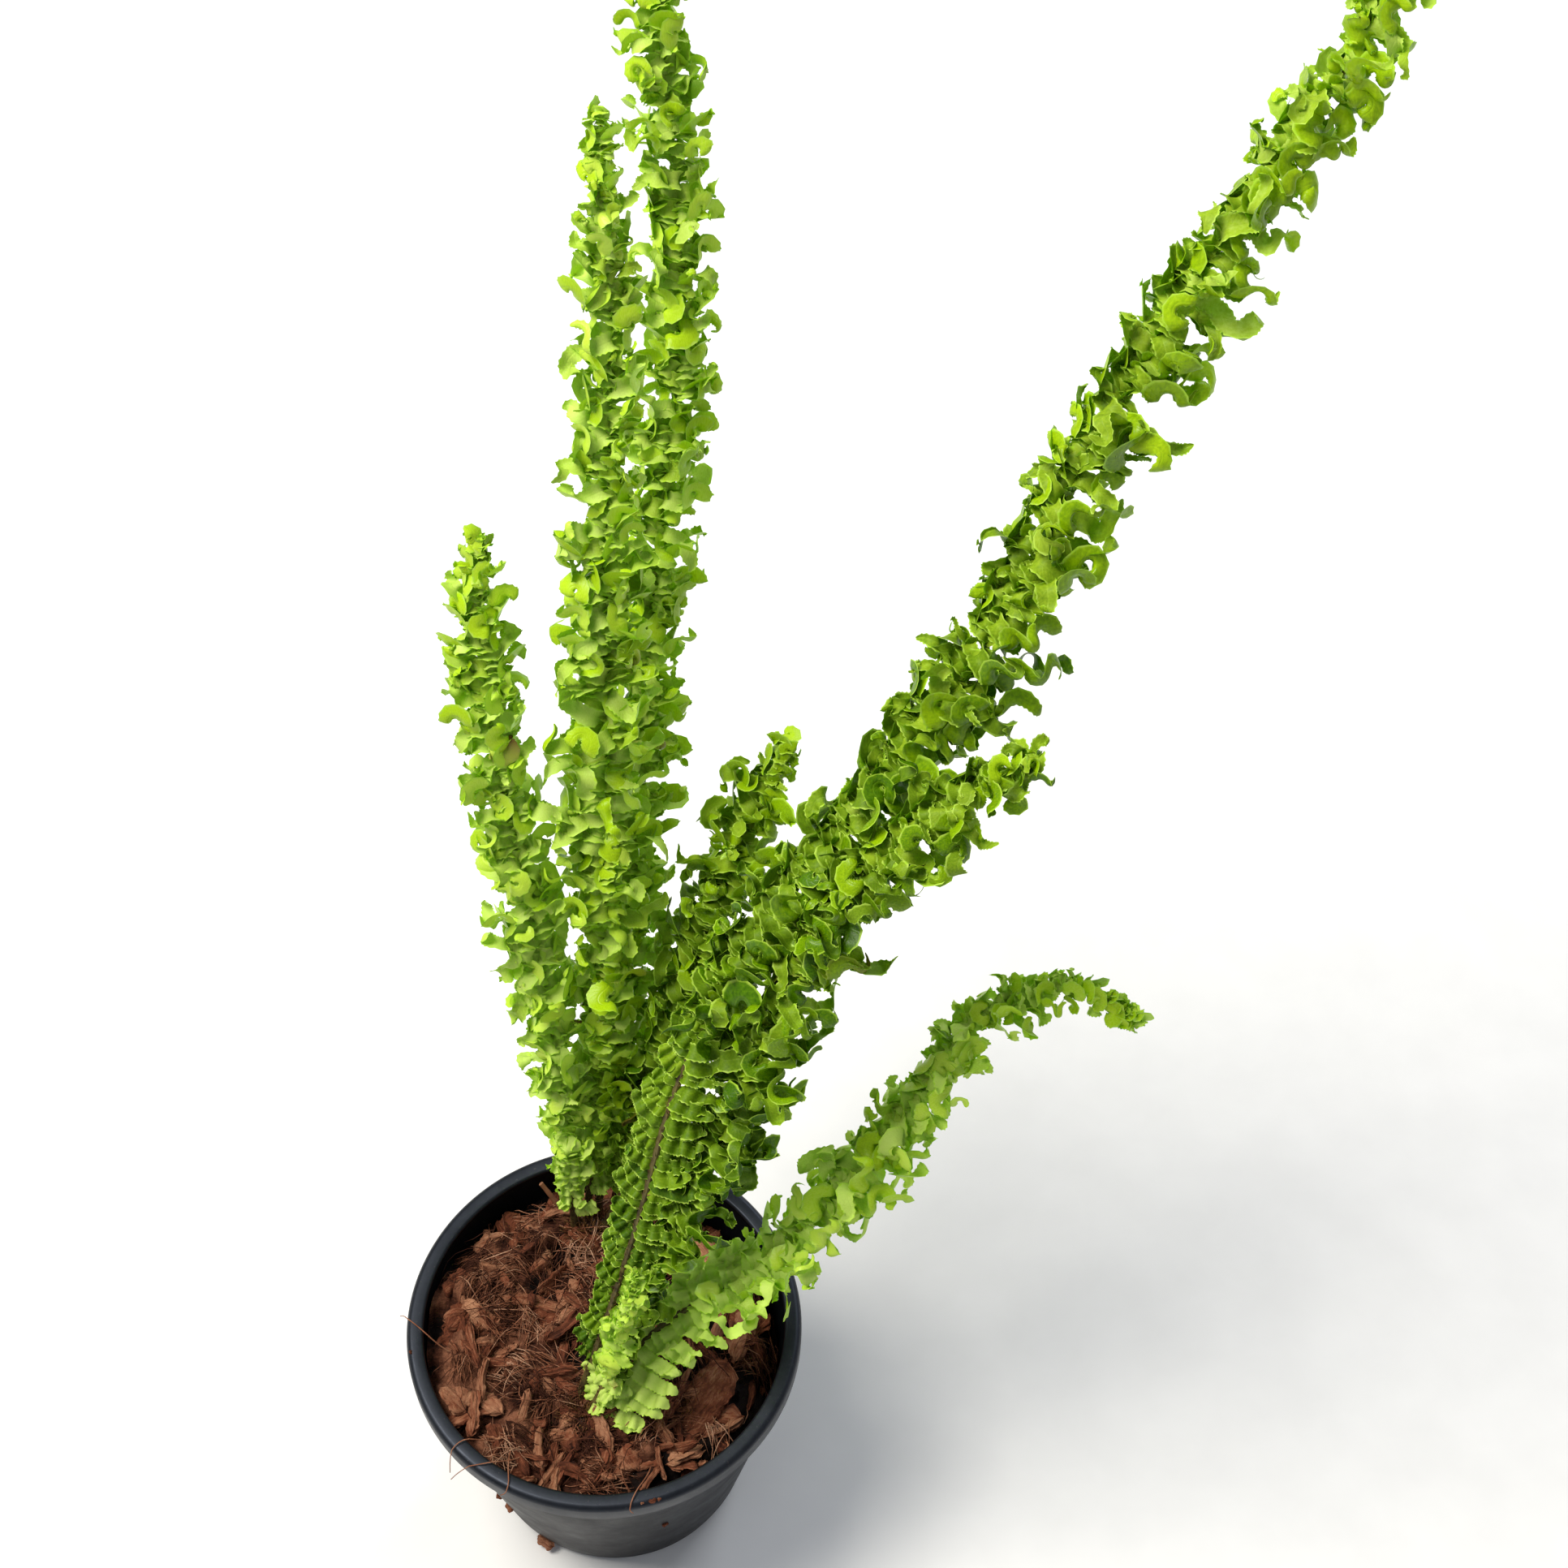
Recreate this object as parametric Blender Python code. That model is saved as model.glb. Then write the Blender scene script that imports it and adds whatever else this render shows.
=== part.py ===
"""A potted sword fern with crisped, rope-like fronds, in metres, +Z up.

The origin is the centre of the pot's flat base. Two crowns sit in the husk medium, one in front of the
pot's centre (towards -Y) and one behind it. Each crown carries four fronds, and each frond is a stem with
a row of leaflets on its left and one on its right, as seen looking from the foot to the tip.
"""

import math

import bmesh
import bpy
from mathutils import Vector

CLEARANCE = 0.0003  # between pieces that touch on the real plant

# Pot, a 15 cm nursery pot
POT_RIM_RADIUS = 0.075
POT_HEIGHT = 0.115
POT_BASE_RADIUS = 0.052
POT_WALL = 0.0018
POT_FLOOR = 0.0022
BASE_ROUNDING = 0.004
RIM_WIDTH = 0.0065
RIM_DEPTH = 0.009
RIM_OVERHANG = 0.003
RIM_ROUNDING = 0.0025
POT_SEGMENTS = 64
SLOT_COUNT = 6
SLOT_WIDTH = 0.004
SLOT_LENGTH = 0.014
SLOT_CIRCLE = 0.034  # radius at the middle of the drainage slots

# Growing medium
FILL_DROP = 0.015  # from the rim's top down to the medium's mean level
MOUND = 0.004  # how much higher the medium stands in the middle than at the wall
LUMP_HEIGHT = 0.0016
LUMP_SPACING = 0.021
LEVEL_AT_WALL = 8  # the power by which the lumps fade towards the wall
MEDIUM_RINGS = 7

# Crowns: name, then x and y of the centre
CROWN_RADIUS = 0.0105
CROWN_HALF_HEIGHT = 0.007
CROWN_SEGMENTS = 16
CROWN_SINK = 0.0015  # the crown's middle lies this far below the medium's mean level
CROWNS = {
    "front": (-0.0065, -0.0310),
    "back": (-0.0090, 0.0465),
}

# Stems and leaflet rows
STATION_STEP = 0.0125  # between the cross-sections along a frond
STEM_FOOT_RADIUS = 0.0016
STEM_TIP_RADIUS = 0.0007
STEM_SIDES = 6
SOCKET_DEPTH = 0.018  # how far up the stem its hole in the crown follows it
LEAFLET_STALK = 0.0006  # the bare stalk between the stem and a row
LEAST_ROW_REACH = 0.0022  # a row starts where there is room for at least this much leaf beside the stem
ROW_NOTCH = 0.80  # a row's reach between two tufts of leaflets, as a share of its reach at a tuft
ROW_FOOT_SHARE = 0.55  # a row's reach at the foot and at the tip, as shares of its full reach
ROW_TIP_SHARE = 0.35
FOOT_STRETCH = 0.125  # the shares of the frond's length over which it grows to full and draws in
TIP_STRETCH = 0.16
ROW_THICKNESS_SHARE = 0.75  # a crisped row is this thick, as a share of its reach
REACH_IN_ROOM = 0.90  # of the free room round a frond, what its rows may take sideways
THICKNESS_IN_ROOM = 0.80

# Fronds: crown, foot offset from the crown's centre, length, reach of a leaflet row, and the stem's lean
# from upright and its heading (0 towards +X, 90 towards +Y) in degrees at even steps from foot to tip.
FRONDS = {
    "left": ("back", (-0.0050, -0.0035), 0.316, 0.0165, (15, 19, 22, 26), (86, 105, 109, 82)),
    "centre_left": ("back", (-0.0015, 0.0010), 0.462, 0.0150, (21, 16, 19, 21, 22), (63, 75, 87, 79, 99)),
    "centre_right": (
        "back", (0.0030, 0.0045), 0.552, 0.0160, (19, 28, 26, 29, 29, 36), (58, 79, 79, 75, 103, 101),
    ),
    "short_middle": ("back", (0.0040, -0.0035), 0.245, 0.0165, (31, 24, 27, 27), (31, 56, 46, 46)),
    "tall_right": (
        "front", (-0.0045, 0.0020), 0.661, 0.0190, (27, 26, 45, 36, 42, 45), (48, 60, 26, 47, 37, 44),
    ),
    "middle_right": ("front", (0.0005, 0.0040), 0.351, 0.0180, (23, 33, 23, 30, 58), (39, 39, 42, 23, 3)),
    "arching": ("front", (0.0045, -0.0010), 0.285, 0.0165, (28, 60, 47, 48, 123), (52, 13, 37, 43, -36)),
    "young": ("front", (-0.0010, -0.0035), 0.098, 0.0110, (34, 14, 14), (41, 22, 89)),
}

# Dry stipe left from an old frond
DRY_STIPE = ("back", (-0.0065, 0.0015), 0.034, (35, 42), (140, 150))
DRY_STIPE_RADIUS = 0.0013

# Husk chips: where each lies on the medium (share of its radius, bearing), how it is turned, its length,
# width and thickness, and how far its far end is tipped up, in degrees.
CHIPS = (
    (0.80, 180, 20, 0.030, 0.0090, 0.0050, 3),
    (0.52, 157, -14, 0.026, 0.0060, 0.0045, -4),
    (0.78, 205, 62, 0.022, 0.0070, 0.0050, 2),
    (0.50, 217, 6, 0.020, 0.0080, 0.0045, 4),
    (0.80, 238, -28, 0.024, 0.0075, 0.0050, -3),
    (0.84, 283, 14, 0.019, 0.0080, 0.0045, 5),
    (0.80, 326, 58, 0.030, 0.0150, 0.0050, 4),
    (0.55, 300, -40, 0.016, 0.0060, 0.0040, 3),
    (0.84, 2, 80, 0.022, 0.0070, 0.0050, -4),
    (0.82, 42, 128, 0.020, 0.0080, 0.0055, 6),
    (0.45, 8, 38, 0.024, 0.0065, 0.0045, 3),
    (0.86, 138, 52, 0.021, 0.0070, 0.0045, 2),
    (0.84, 72, -10, 0.018, 0.0080, 0.0045, 4),
)
CHIP_RISE = 0.25  # share of a chip's thickness by which its middle stands above the medium
CHIP_TAPER = 0.35  # share of its fullness that a chip loses at its ends
CHIP_SWAY = 0.12  # how far it bends sideways, as a share of its width
CHIP_UNEVEN = 0.10
CHIP_INSET = 0.25  # share of its length that a chip keeps back from the pot's wall
CHIP_SIDES = 6
CHIP_RINGS = 5


def clear_scene():
    for obj in list(bpy.data.objects):
        bpy.data.objects.remove(obj)


def material(name, colour, roughness, metallic=0.0):
    made = bpy.data.materials.new(name)
    made.use_nodes = True
    shader = made.node_tree.nodes["Principled BSDF"]
    shader.inputs["Base Color"].default_value = (*colour, 1.0)
    shader.inputs["Roughness"].default_value = roughness
    shader.inputs["Metallic"].default_value = metallic
    made.diffuse_color = (*colour, 1.0)
    return made


def add_mesh(name, points, faces, surface=None, smooth_angle=50):
    mesh = bpy.data.meshes.new(name)
    mesh.from_pydata(points, [], faces)
    shell = bmesh.new()
    shell.from_mesh(mesh)
    # Many of the quads are skewed, and a Boolean needs flat faces.
    bmesh.ops.triangulate(shell, faces=shell.faces)
    shell.to_mesh(mesh)
    shell.free()
    mesh.shade_smooth()
    mesh.set_sharp_from_angle(angle=math.radians(smooth_angle))
    obj = bpy.data.objects.new(name, mesh)
    if surface:
        mesh.materials.append(surface)
    bpy.context.scene.collection.objects.link(obj)
    return obj


def loft(rings):
    """Points and faces of a closed skin through rings of equal size, which run anticlockwise seen from
    the last ring, with a flat cap at each end."""
    sides = len(rings[0])
    points = [point for ring in rings for point in ring]
    faces = [tuple(reversed(range(sides)))]
    for ring in range(len(rings) - 1):
        low = ring * sides
        high = low + sides
        for side in range(sides):
            after = (side + 1) % sides
            faces.append((low + side, low + after, high + after, high + side))
    top = (len(rings) - 1) * sides
    faces.append(tuple(range(top, top + sides)))
    return points, faces


def turned(profile, segments, lift=None):
    """Points and faces of a profile of (radius, height) turned about Z. It starts and ends on the axis,
    and runs outwards along the bottom, up the outside and back inwards. lift(x, y, height) may raise a
    point."""
    rise = lift or (lambda x, y, height: height)
    points = [(0.0, 0.0, profile[0][1])]
    for radius, height in profile[1:-1]:
        for segment in range(segments):
            angle = math.tau * segment / segments
            x = radius * math.cos(angle)
            y = radius * math.sin(angle)
            points.append((x, y, rise(x, y, height)))
    points.append((0.0, 0.0, rise(0.0, 0.0, profile[-1][1])))
    last = len(points) - 1
    rings = len(profile) - 2
    faces = []
    for segment in range(segments):
        after = (segment + 1) % segments
        faces.append((0, 1 + after, 1 + segment))
        top = 1 + (rings - 1) * segments
        faces.append((top + segment, top + after, last))
        for ring in range(rings - 1):
            low = 1 + ring * segments
            high = low + segments
            faces.append((low + segment, low + after, high + after, high + segment))
    return points, faces


def cut(obj, cutters):
    """Takes each cutter's shape out of obj in turn and keeps the cutters as hidden guides."""
    for index, (points, faces) in enumerate(cutters):
        cutter = add_mesh(f"{obj.name}_cutter_{index + 1:02d}", points, faces)
        cutter.hide_render = True
        cutter.display_type = "WIRE"
        boolean = obj.modifiers.new(cutter.name, "BOOLEAN")
        boolean.operation = "DIFFERENCE"
        boolean.solver = "EXACT"
        boolean.object = cutter


def between(low, high, share):
    return low + (high - low) * share


def arc(centre_radius, centre_height, size, start, end, steps):
    """Points of (radius, height) on a rounding, from the start angle to the end angle in degrees."""
    found = []
    for step in range(steps + 1):
        angle = math.radians(between(start, end, step / steps))
        found.append((centre_radius + size * math.cos(angle), centre_height + size * math.sin(angle)))
    return found


# Pot and medium


def wall_radius(height):
    """The outside radius of the pot's wall, which tapers evenly from the base to the rim."""
    return between(POT_BASE_RADIUS, POT_RIM_RADIUS - RIM_OVERHANG, height / POT_HEIGHT)


def inner_radius(height):
    """The inside radius of the pot, which the rolled rim narrows a little at the top."""
    return min(wall_radius(height) - POT_WALL, POT_RIM_RADIUS - RIM_WIDTH)


def pot_profile():
    rim_bottom = POT_HEIGHT - RIM_DEPTH
    rim_middle = POT_RIM_RADIUS - RIM_WIDTH
    rim_top = POT_HEIGHT - RIM_ROUNDING
    return [
        (0.0, 0.0),
        *arc(POT_BASE_RADIUS - BASE_ROUNDING, BASE_ROUNDING, BASE_ROUNDING, -90, -5, 3),
        (wall_radius(POT_HEIGHT / 2), POT_HEIGHT / 2),
        (wall_radius(rim_bottom), rim_bottom),
        (POT_RIM_RADIUS, rim_bottom),
        *arc(POT_RIM_RADIUS - RIM_ROUNDING, rim_top, RIM_ROUNDING, 0, 90, 3),
        *arc(rim_middle + RIM_ROUNDING, rim_top, RIM_ROUNDING, 90, 180, 3)[1:],
        (inner_radius(rim_bottom), rim_bottom),
        (inner_radius(POT_HEIGHT / 2), POT_HEIGHT / 2),
        (inner_radius(POT_FLOOR), POT_FLOOR),
        (0.0, POT_FLOOR),
    ]


def slot_shape(angle):
    """One round-ended drainage slot, standing right through the pot's floor."""
    half_width = SLOT_WIDTH / 2
    half_run = SLOT_LENGTH / 2 - half_width
    outline = arc(SLOT_CIRCLE + half_run, 0.0, half_width, -90, 90, 4)
    outline += arc(SLOT_CIRCLE - half_run, 0.0, half_width, 90, 270, 4)
    rings = []
    for height in (-POT_FLOOR, 2 * POT_FLOOR):
        ring = []
        for x, y in outline:
            turned_x = x * math.cos(angle) - y * math.sin(angle)
            turned_y = x * math.sin(angle) + y * math.cos(angle)
            ring.append((turned_x, turned_y, height))
        rings.append(ring)
    return loft(rings)


def make_pot():
    surface = material("pot_plastic", (0.020, 0.024, 0.030), 0.42)
    pot = add_mesh("pot", *turned(pot_profile(), POT_SEGMENTS), surface)
    cut(pot, [slot_shape(math.tau * index / SLOT_COUNT) for index in range(SLOT_COUNT)])


def fill_level():
    return POT_HEIGHT - FILL_DROP


def medium_top(x, y, height):
    """Raises a point of the medium's top to its mound and its lumps; the sides and bottom stay."""
    edge = fill_level() - MOUND / 2
    if height < edge:
        return height
    share = math.hypot(x, y) / inner_radius(edge)
    wave = math.tau / LUMP_SPACING
    lumps = math.sin(wave * x + 0.7) * math.cos(wave * y * 0.9 + 0.4)
    lumps += 0.6 * math.sin(wave * 1.7 * (x + y) + 1.9)
    fade = 1 - share**LEVEL_AT_WALL
    return edge + MOUND * (1 - share * share) + LUMP_HEIGHT * lumps * fade


def make_medium(pockets):
    bottom = POT_FLOOR + CLEARANCE
    edge = fill_level() - MOUND / 2
    middle = POT_HEIGHT / 2
    profile = [(0.0, bottom)]
    profile.append((inner_radius(bottom) - CLEARANCE, bottom))
    profile.append((inner_radius(middle) - CLEARANCE, middle))
    rim_side = inner_radius(edge) - CLEARANCE
    for ring in range(MEDIUM_RINGS):
        profile.append((rim_side * (1 - ring / MEDIUM_RINGS), edge))
    profile.append((0.0, edge))
    surface = material("husk_medium", (0.16, 0.060, 0.030), 0.92)
    medium = add_mesh("growing_medium", *turned(profile, POT_SEGMENTS, medium_top), surface)
    cut(medium, pockets)


# Husk chips


def chip_shape(chip, grow):
    """A split piece of husk, a long six-sided slab with uneven edges; grow makes its pocket."""
    share, bearing, turn, length, width, thickness, tip = chip
    radius = share * (inner_radius(fill_level()) - CHIP_INSET * length)
    x = radius * math.cos(math.radians(bearing))
    y = radius * math.sin(math.radians(bearing))
    middle = Vector((x, y, medium_top(x, y, fill_level()) + CHIP_RISE * thickness))
    heading = math.radians(turn)
    slope = math.radians(tip)
    level = Vector((math.cos(heading), math.sin(heading), 0.0))
    along = level * math.cos(slope) + Vector((0.0, 0.0, math.sin(slope)))
    across = Vector((-math.sin(heading), math.cos(heading), 0.0))
    up = along.cross(across)
    rings = []
    for ring in range(CHIP_RINGS):
        run = between(-1, 1, ring / (CHIP_RINGS - 1))
        fullness = 1 - CHIP_TAPER * run * run
        sway = CHIP_SWAY * math.sin(3 * run + bearing)
        centre = middle + along * (run * (length / 2 + grow)) + across * (sway * width)
        points = []
        for side in range(CHIP_SIDES):
            angle = math.tau * (side + 0.5) / CHIP_SIDES
            uneven = 1 + CHIP_UNEVEN * math.sin(bearing + 2 * side + 2 * run)
            reach = (width / 2) * fullness * uneven + grow
            rise = (thickness / 2) * fullness * uneven + grow
            points.append(centre + across * (reach * math.cos(angle)) + up * (rise * math.sin(angle)))
        rings.append(points)
    return loft(rings)


def make_chips():
    surface = material("husk_chip", (0.24, 0.085, 0.042), 0.85)
    for index, chip in enumerate(CHIPS):
        add_mesh(f"husk_chip_{index + 1:02d}", *chip_shape(chip, 0.0), surface)


# Crowns


def crown_shape(name, grow):
    """A squat rounded knob; grow makes its pocket in the medium."""
    x, y = CROWNS[name]
    radius = CROWN_RADIUS + grow
    half_height = CROWN_HALF_HEIGHT + grow
    profile = [(0.0, -half_height)]
    for latitude in range(-60, 61, 30):
        angle = math.radians(latitude)
        profile.append((radius * math.cos(angle), half_height * math.sin(angle)))
    profile.append((0.0, half_height))
    points, faces = turned(profile, CROWN_SEGMENTS)
    lift = Vector((x, y, fill_level() - CROWN_SINK))
    return [Vector(point) + lift for point in points], faces


def make_crown(name, sockets):
    surface = material(f"{name}_crown_scales", (0.075, 0.042, 0.022), 0.90)
    crown = add_mesh(f"{name}_crown", *crown_shape(name, 0.0), surface)
    cut(crown, sockets)


# Fronds


def at_share(values, share):
    """The value at this share of the frond's length, straight between the two nearest ones."""
    place = share * (len(values) - 1)
    index = min(int(place), len(values) - 2)
    return between(values[index], values[index + 1], place - index)


def heading_at(lean, heading, share):
    tilt = math.radians(at_share(lean, share))
    turn = math.radians(at_share(heading, share))
    return Vector((math.sin(tilt) * math.cos(turn), math.sin(tilt) * math.sin(turn), math.cos(tilt)))


def foot_of(crown, offset):
    x, y = CROWNS[crown]
    return Vector((x + offset[0], y + offset[1], fill_level()))


def stations(foot, length, lean, heading):
    """Evenly spaced (point, along, side, up) along a stem. side is level and points to the right of
    someone looking from the foot to the tip, and up is the face that the leaflets show the sky."""
    count = max(2, round(length / STATION_STEP))
    step = length / count
    point = foot.copy()
    found = []
    for index in range(count + 1):
        along = heading_at(lean, heading, index / count)
        side = along.cross(Vector((0.0, 0.0, 1.0))).normalized()
        found.append((point.copy(), along, side, side.cross(along)))
        if index < count:
            point += heading_at(lean, heading, (index + 0.5) / count) * step
    return found


def stem_radius(share):
    return between(STEM_FOOT_RADIUS, STEM_TIP_RADIUS, share)


def tube_rings(path, radii):
    rings = []
    for (point, _, side, up), radius in zip(path, radii):
        ring = []
        for corner in range(STEM_SIDES):
            angle = math.tau * corner / STEM_SIDES
            # side and up turn clockwise about the stem, so the corners run the other way round
            ring.append(point + side * (radius * math.cos(angle)) - up * (radius * math.sin(angle)))
        rings.append(ring)
    return rings


def stem_shape(path, foot_radius=STEM_FOOT_RADIUS, tip_radius=STEM_TIP_RADIUS):
    last = len(path) - 1
    return loft(tube_rings(path, [between(foot_radius, tip_radius, i / last) for i in range(last + 1)]))


def socket_shape(path, foot_radius=STEM_FOOT_RADIUS):
    """The hole that a stem's foot needs in its crown: its own first stretch, with clearance all round."""
    step = (path[1][0] - path[0][0]).length
    count = math.ceil(SOCKET_DEPTH / step) + 1
    point, along, side, up = path[0]
    reach = [(point - along * CLEARANCE, along, side, up), *path[1:count]]
    radius = foot_radius + 2 * CLEARANCE
    return loft(tube_rings(reach, [radius] * len(reach)))


def free_room(path, others):
    """At each station, how far the frond's leaflets may reach before they would meet another frond's:
    half way to the nearest other stem."""
    found = []
    for point, *_ in path:
        nearest = min((point - other).length for other in others)
        found.append(nearest / 2 - CLEARANCE)
    return found


def row_reach(share, full):
    """A row's reach: shorter at the foot, full in the middle, and drawn in at the tip."""
    foot = between(ROW_FOOT_SHARE, 1.0, min(1.0, share / FOOT_STRETCH))
    tip = between(ROW_TIP_SHARE, 1.0, min(1.0, (1 - share) / TIP_STRETCH))
    return full * foot * tip


def row_section(station, hand, inner, reach, thickness):
    """Six points round a row of leaflets: a flat face beside the stem, full in the middle and
    rounded at the leaflets' tips. hand is 1 on the right and -1 on the left."""
    point, _, side, up = station
    belly = between(inner, reach, 0.55)
    outline = (
        (inner, -0.40), (belly, -0.50), (reach, -0.22), (reach, 0.22), (belly, 0.50), (inner, 0.40),
    )
    ring = [point + side * (hand * x) + up * (y * thickness) for x, y in outline]
    return ring if hand < 0 else ring[::-1]


def row_shape(path, room, full, hand):
    """A row of leaflets as one body with a tuft at every second station."""
    last = len(path) - 1
    rings = []
    for index, station in enumerate(path):
        share = index / last
        inner = stem_radius(share) + LEAFLET_STALK
        tuft = ROW_NOTCH if index % 2 else 1.0
        reach = min(row_reach(share, full), REACH_IN_ROOM * room[index]) * tuft
        thickness = min(reach * ROW_THICKNESS_SHARE * 2, THICKNESS_IN_ROOM * room[index] * 2) * tuft
        if reach < inner + LEAST_ROW_REACH:
            if not rings:
                continue
            reach = inner + LEAST_ROW_REACH
        rings.append(row_section(station, hand, inner, reach, thickness))
    return loft(rings)


def make_fronds():
    """Makes every stem and leaflet row, and gives each crown's sockets."""
    stem_surface = material("frond_stem", (0.105, 0.075, 0.028), 0.60)
    left_surface = material("left_leaflets", (0.160, 0.400, 0.022), 0.42)
    right_surface = material("right_leaflets", (0.185, 0.430, 0.028), 0.42)
    paths = {}
    for name, (crown, offset, length, _, lean, heading) in FRONDS.items():
        paths[name] = stations(foot_of(crown, offset), length, lean, heading)
    sockets = {name: [] for name in CROWNS}
    for name, path in paths.items():
        crown, _, _, full, _, _ = FRONDS[name]
        others = [station[0] for other, its in paths.items() if other != name for station in its]
        room = free_room(path, others)
        add_mesh(f"{name}_frond_stem", *stem_shape(path), stem_surface)
        add_mesh(f"{name}_frond_left_leaflets", *row_shape(path, room, full, -1), left_surface)
        add_mesh(f"{name}_frond_right_leaflets", *row_shape(path, room, full, 1), right_surface)
        sockets[crown].append(socket_shape(path))
    return sockets


def make_dry_stipe(sockets):
    crown, offset, length, lean, heading = DRY_STIPE
    path = stations(foot_of(crown, offset), length, lean, heading)
    surface = material("dry_stipe", (0.090, 0.045, 0.025), 0.80)
    shape = stem_shape(path, DRY_STIPE_RADIUS, DRY_STIPE_RADIUS * 0.7)
    add_mesh("dry_stipe", *shape, surface)
    sockets[crown].append(socket_shape(path, DRY_STIPE_RADIUS))


def main():
    clear_scene()
    make_pot()
    pockets = [chip_shape(chip, CLEARANCE) for chip in CHIPS]
    pockets += [crown_shape(name, CLEARANCE) for name in CROWNS]
    make_medium(pockets)
    make_chips()
    sockets = make_fronds()
    make_dry_stipe(sockets)
    for name in CROWNS:
        make_crown(name, sockets[name])


main()
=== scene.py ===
# %% [markdown]
# # A crisped sword fern in a nursery pot
# The plant stands in a thin black pot filled with coconut husk. Eight fronds rise from two crowns, and
# every frond is a wiry stem with a row of curled leaflets on each side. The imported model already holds
# the true sizes and places, so this lesson loads it as a fixed frame and grows the fine surfaces round it.

# %% Load the frame
import math

import bpy
import numpy as np
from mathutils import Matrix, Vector, noise


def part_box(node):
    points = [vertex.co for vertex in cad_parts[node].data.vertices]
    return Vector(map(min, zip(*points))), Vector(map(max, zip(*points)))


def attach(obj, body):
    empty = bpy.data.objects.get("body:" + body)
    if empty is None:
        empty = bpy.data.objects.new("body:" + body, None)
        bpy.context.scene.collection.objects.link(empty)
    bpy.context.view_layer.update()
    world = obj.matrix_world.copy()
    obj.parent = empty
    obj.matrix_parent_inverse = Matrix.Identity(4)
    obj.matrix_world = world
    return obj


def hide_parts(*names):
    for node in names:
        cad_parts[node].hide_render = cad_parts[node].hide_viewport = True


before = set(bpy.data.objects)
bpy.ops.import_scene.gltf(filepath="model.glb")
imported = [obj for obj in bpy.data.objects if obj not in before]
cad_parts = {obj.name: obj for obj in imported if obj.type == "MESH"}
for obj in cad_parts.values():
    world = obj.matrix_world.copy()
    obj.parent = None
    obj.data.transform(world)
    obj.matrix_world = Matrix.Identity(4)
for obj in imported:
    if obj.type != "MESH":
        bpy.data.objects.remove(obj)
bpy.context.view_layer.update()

MM = 0.001


# %% [markdown]
# ## Colours and nodes
# A shader works with linear light, while a colour given here is an sRGB hex value, so one function
# turns the one into the other. A second one adds a node with its settings and its links, which keeps
# every material below short enough to read as a recipe.


# %% Colour and node helpers
def linear(hex_colour):
    """An sRGB hex colour as the linear red, green, blue and alpha that a socket takes."""
    shares = [int(hex_colour[i:i + 2], 16) / 255 for i in (1, 3, 5)]
    return [s / 12.92 if s <= 0.04045 else ((s + 0.055) / 1.055) ** 2.4 for s in shares] + [1.0]


def add_node(tree, kind, settings=None, links=None):
    """Adds a node. Settings are its properties, its inputs' values or a ramp's stops, links its sources."""
    node = tree.nodes.new(kind)
    for name, value in (settings or {}).items():
        if name == "stops":
            elements = node.color_ramp.elements
            while len(elements) < len(value):
                elements.new(0.5)
            for element, (place, colour) in zip(elements, value):
                element.position = place
                element.color = linear(colour)
        elif isinstance(name, str) and hasattr(node, name):
            setattr(node, name, value)
        else:
            node.inputs[name].default_value = value
    for name, source in (links or {}).items():
        tree.links.new(source, node.inputs[name])
    return node


def new_material(name):
    """An empty node material, its tree and its output node."""
    material = bpy.data.materials.new(name)
    material.use_nodes = True
    material.node_tree.nodes.clear()
    return material, material.node_tree, add_node(material.node_tree, "ShaderNodeOutputMaterial")


def reading(tree, name):
    """The output of an attribute that the leaflets carry."""
    return add_node(tree, "ShaderNodeAttribute", {"attribute_name": name}).outputs["Fac"]


def calc(tree, operation, first, second=0.0, third=0.0):
    """A number worked out from numbers or from other nodes' outputs."""
    node = tree.nodes.new("ShaderNodeMath")
    node.operation = operation
    for socket, value in zip(node.inputs, (first, second, third)):
        if isinstance(value, (int, float)):
            socket.default_value = value
        else:
            tree.links.new(value, socket)
    return node.outputs[0]


def blended(tree, share, under, over, blend="MIX"):
    """Colour over on top of colour under by a share. Each is a hex colour or another node's output."""
    node = add_node(tree, "ShaderNodeMix", {"data_type": "RGBA", "blend_type": blend})
    for socket, value in ((0, share), (6, under), (7, over)):
        if isinstance(value, str):
            node.inputs[socket].default_value = linear(value)
        elif isinstance(value, (int, float)):
            node.inputs[socket].default_value = value
        else:
            tree.links.new(value, node.inputs[socket])
    return node.outputs[2]


print("black of the pot, linear:", [round(v, 4) for v in linear("#15181c")])

# %% [markdown]
# ## Meshes from arrays
# This fern has about two thousand leaflets, and its husk nearly four thousand fibres. Growing them one by
# one with Blender's operators would take minutes, so numpy works out all the points at once and one helper
# hands them over.


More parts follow.
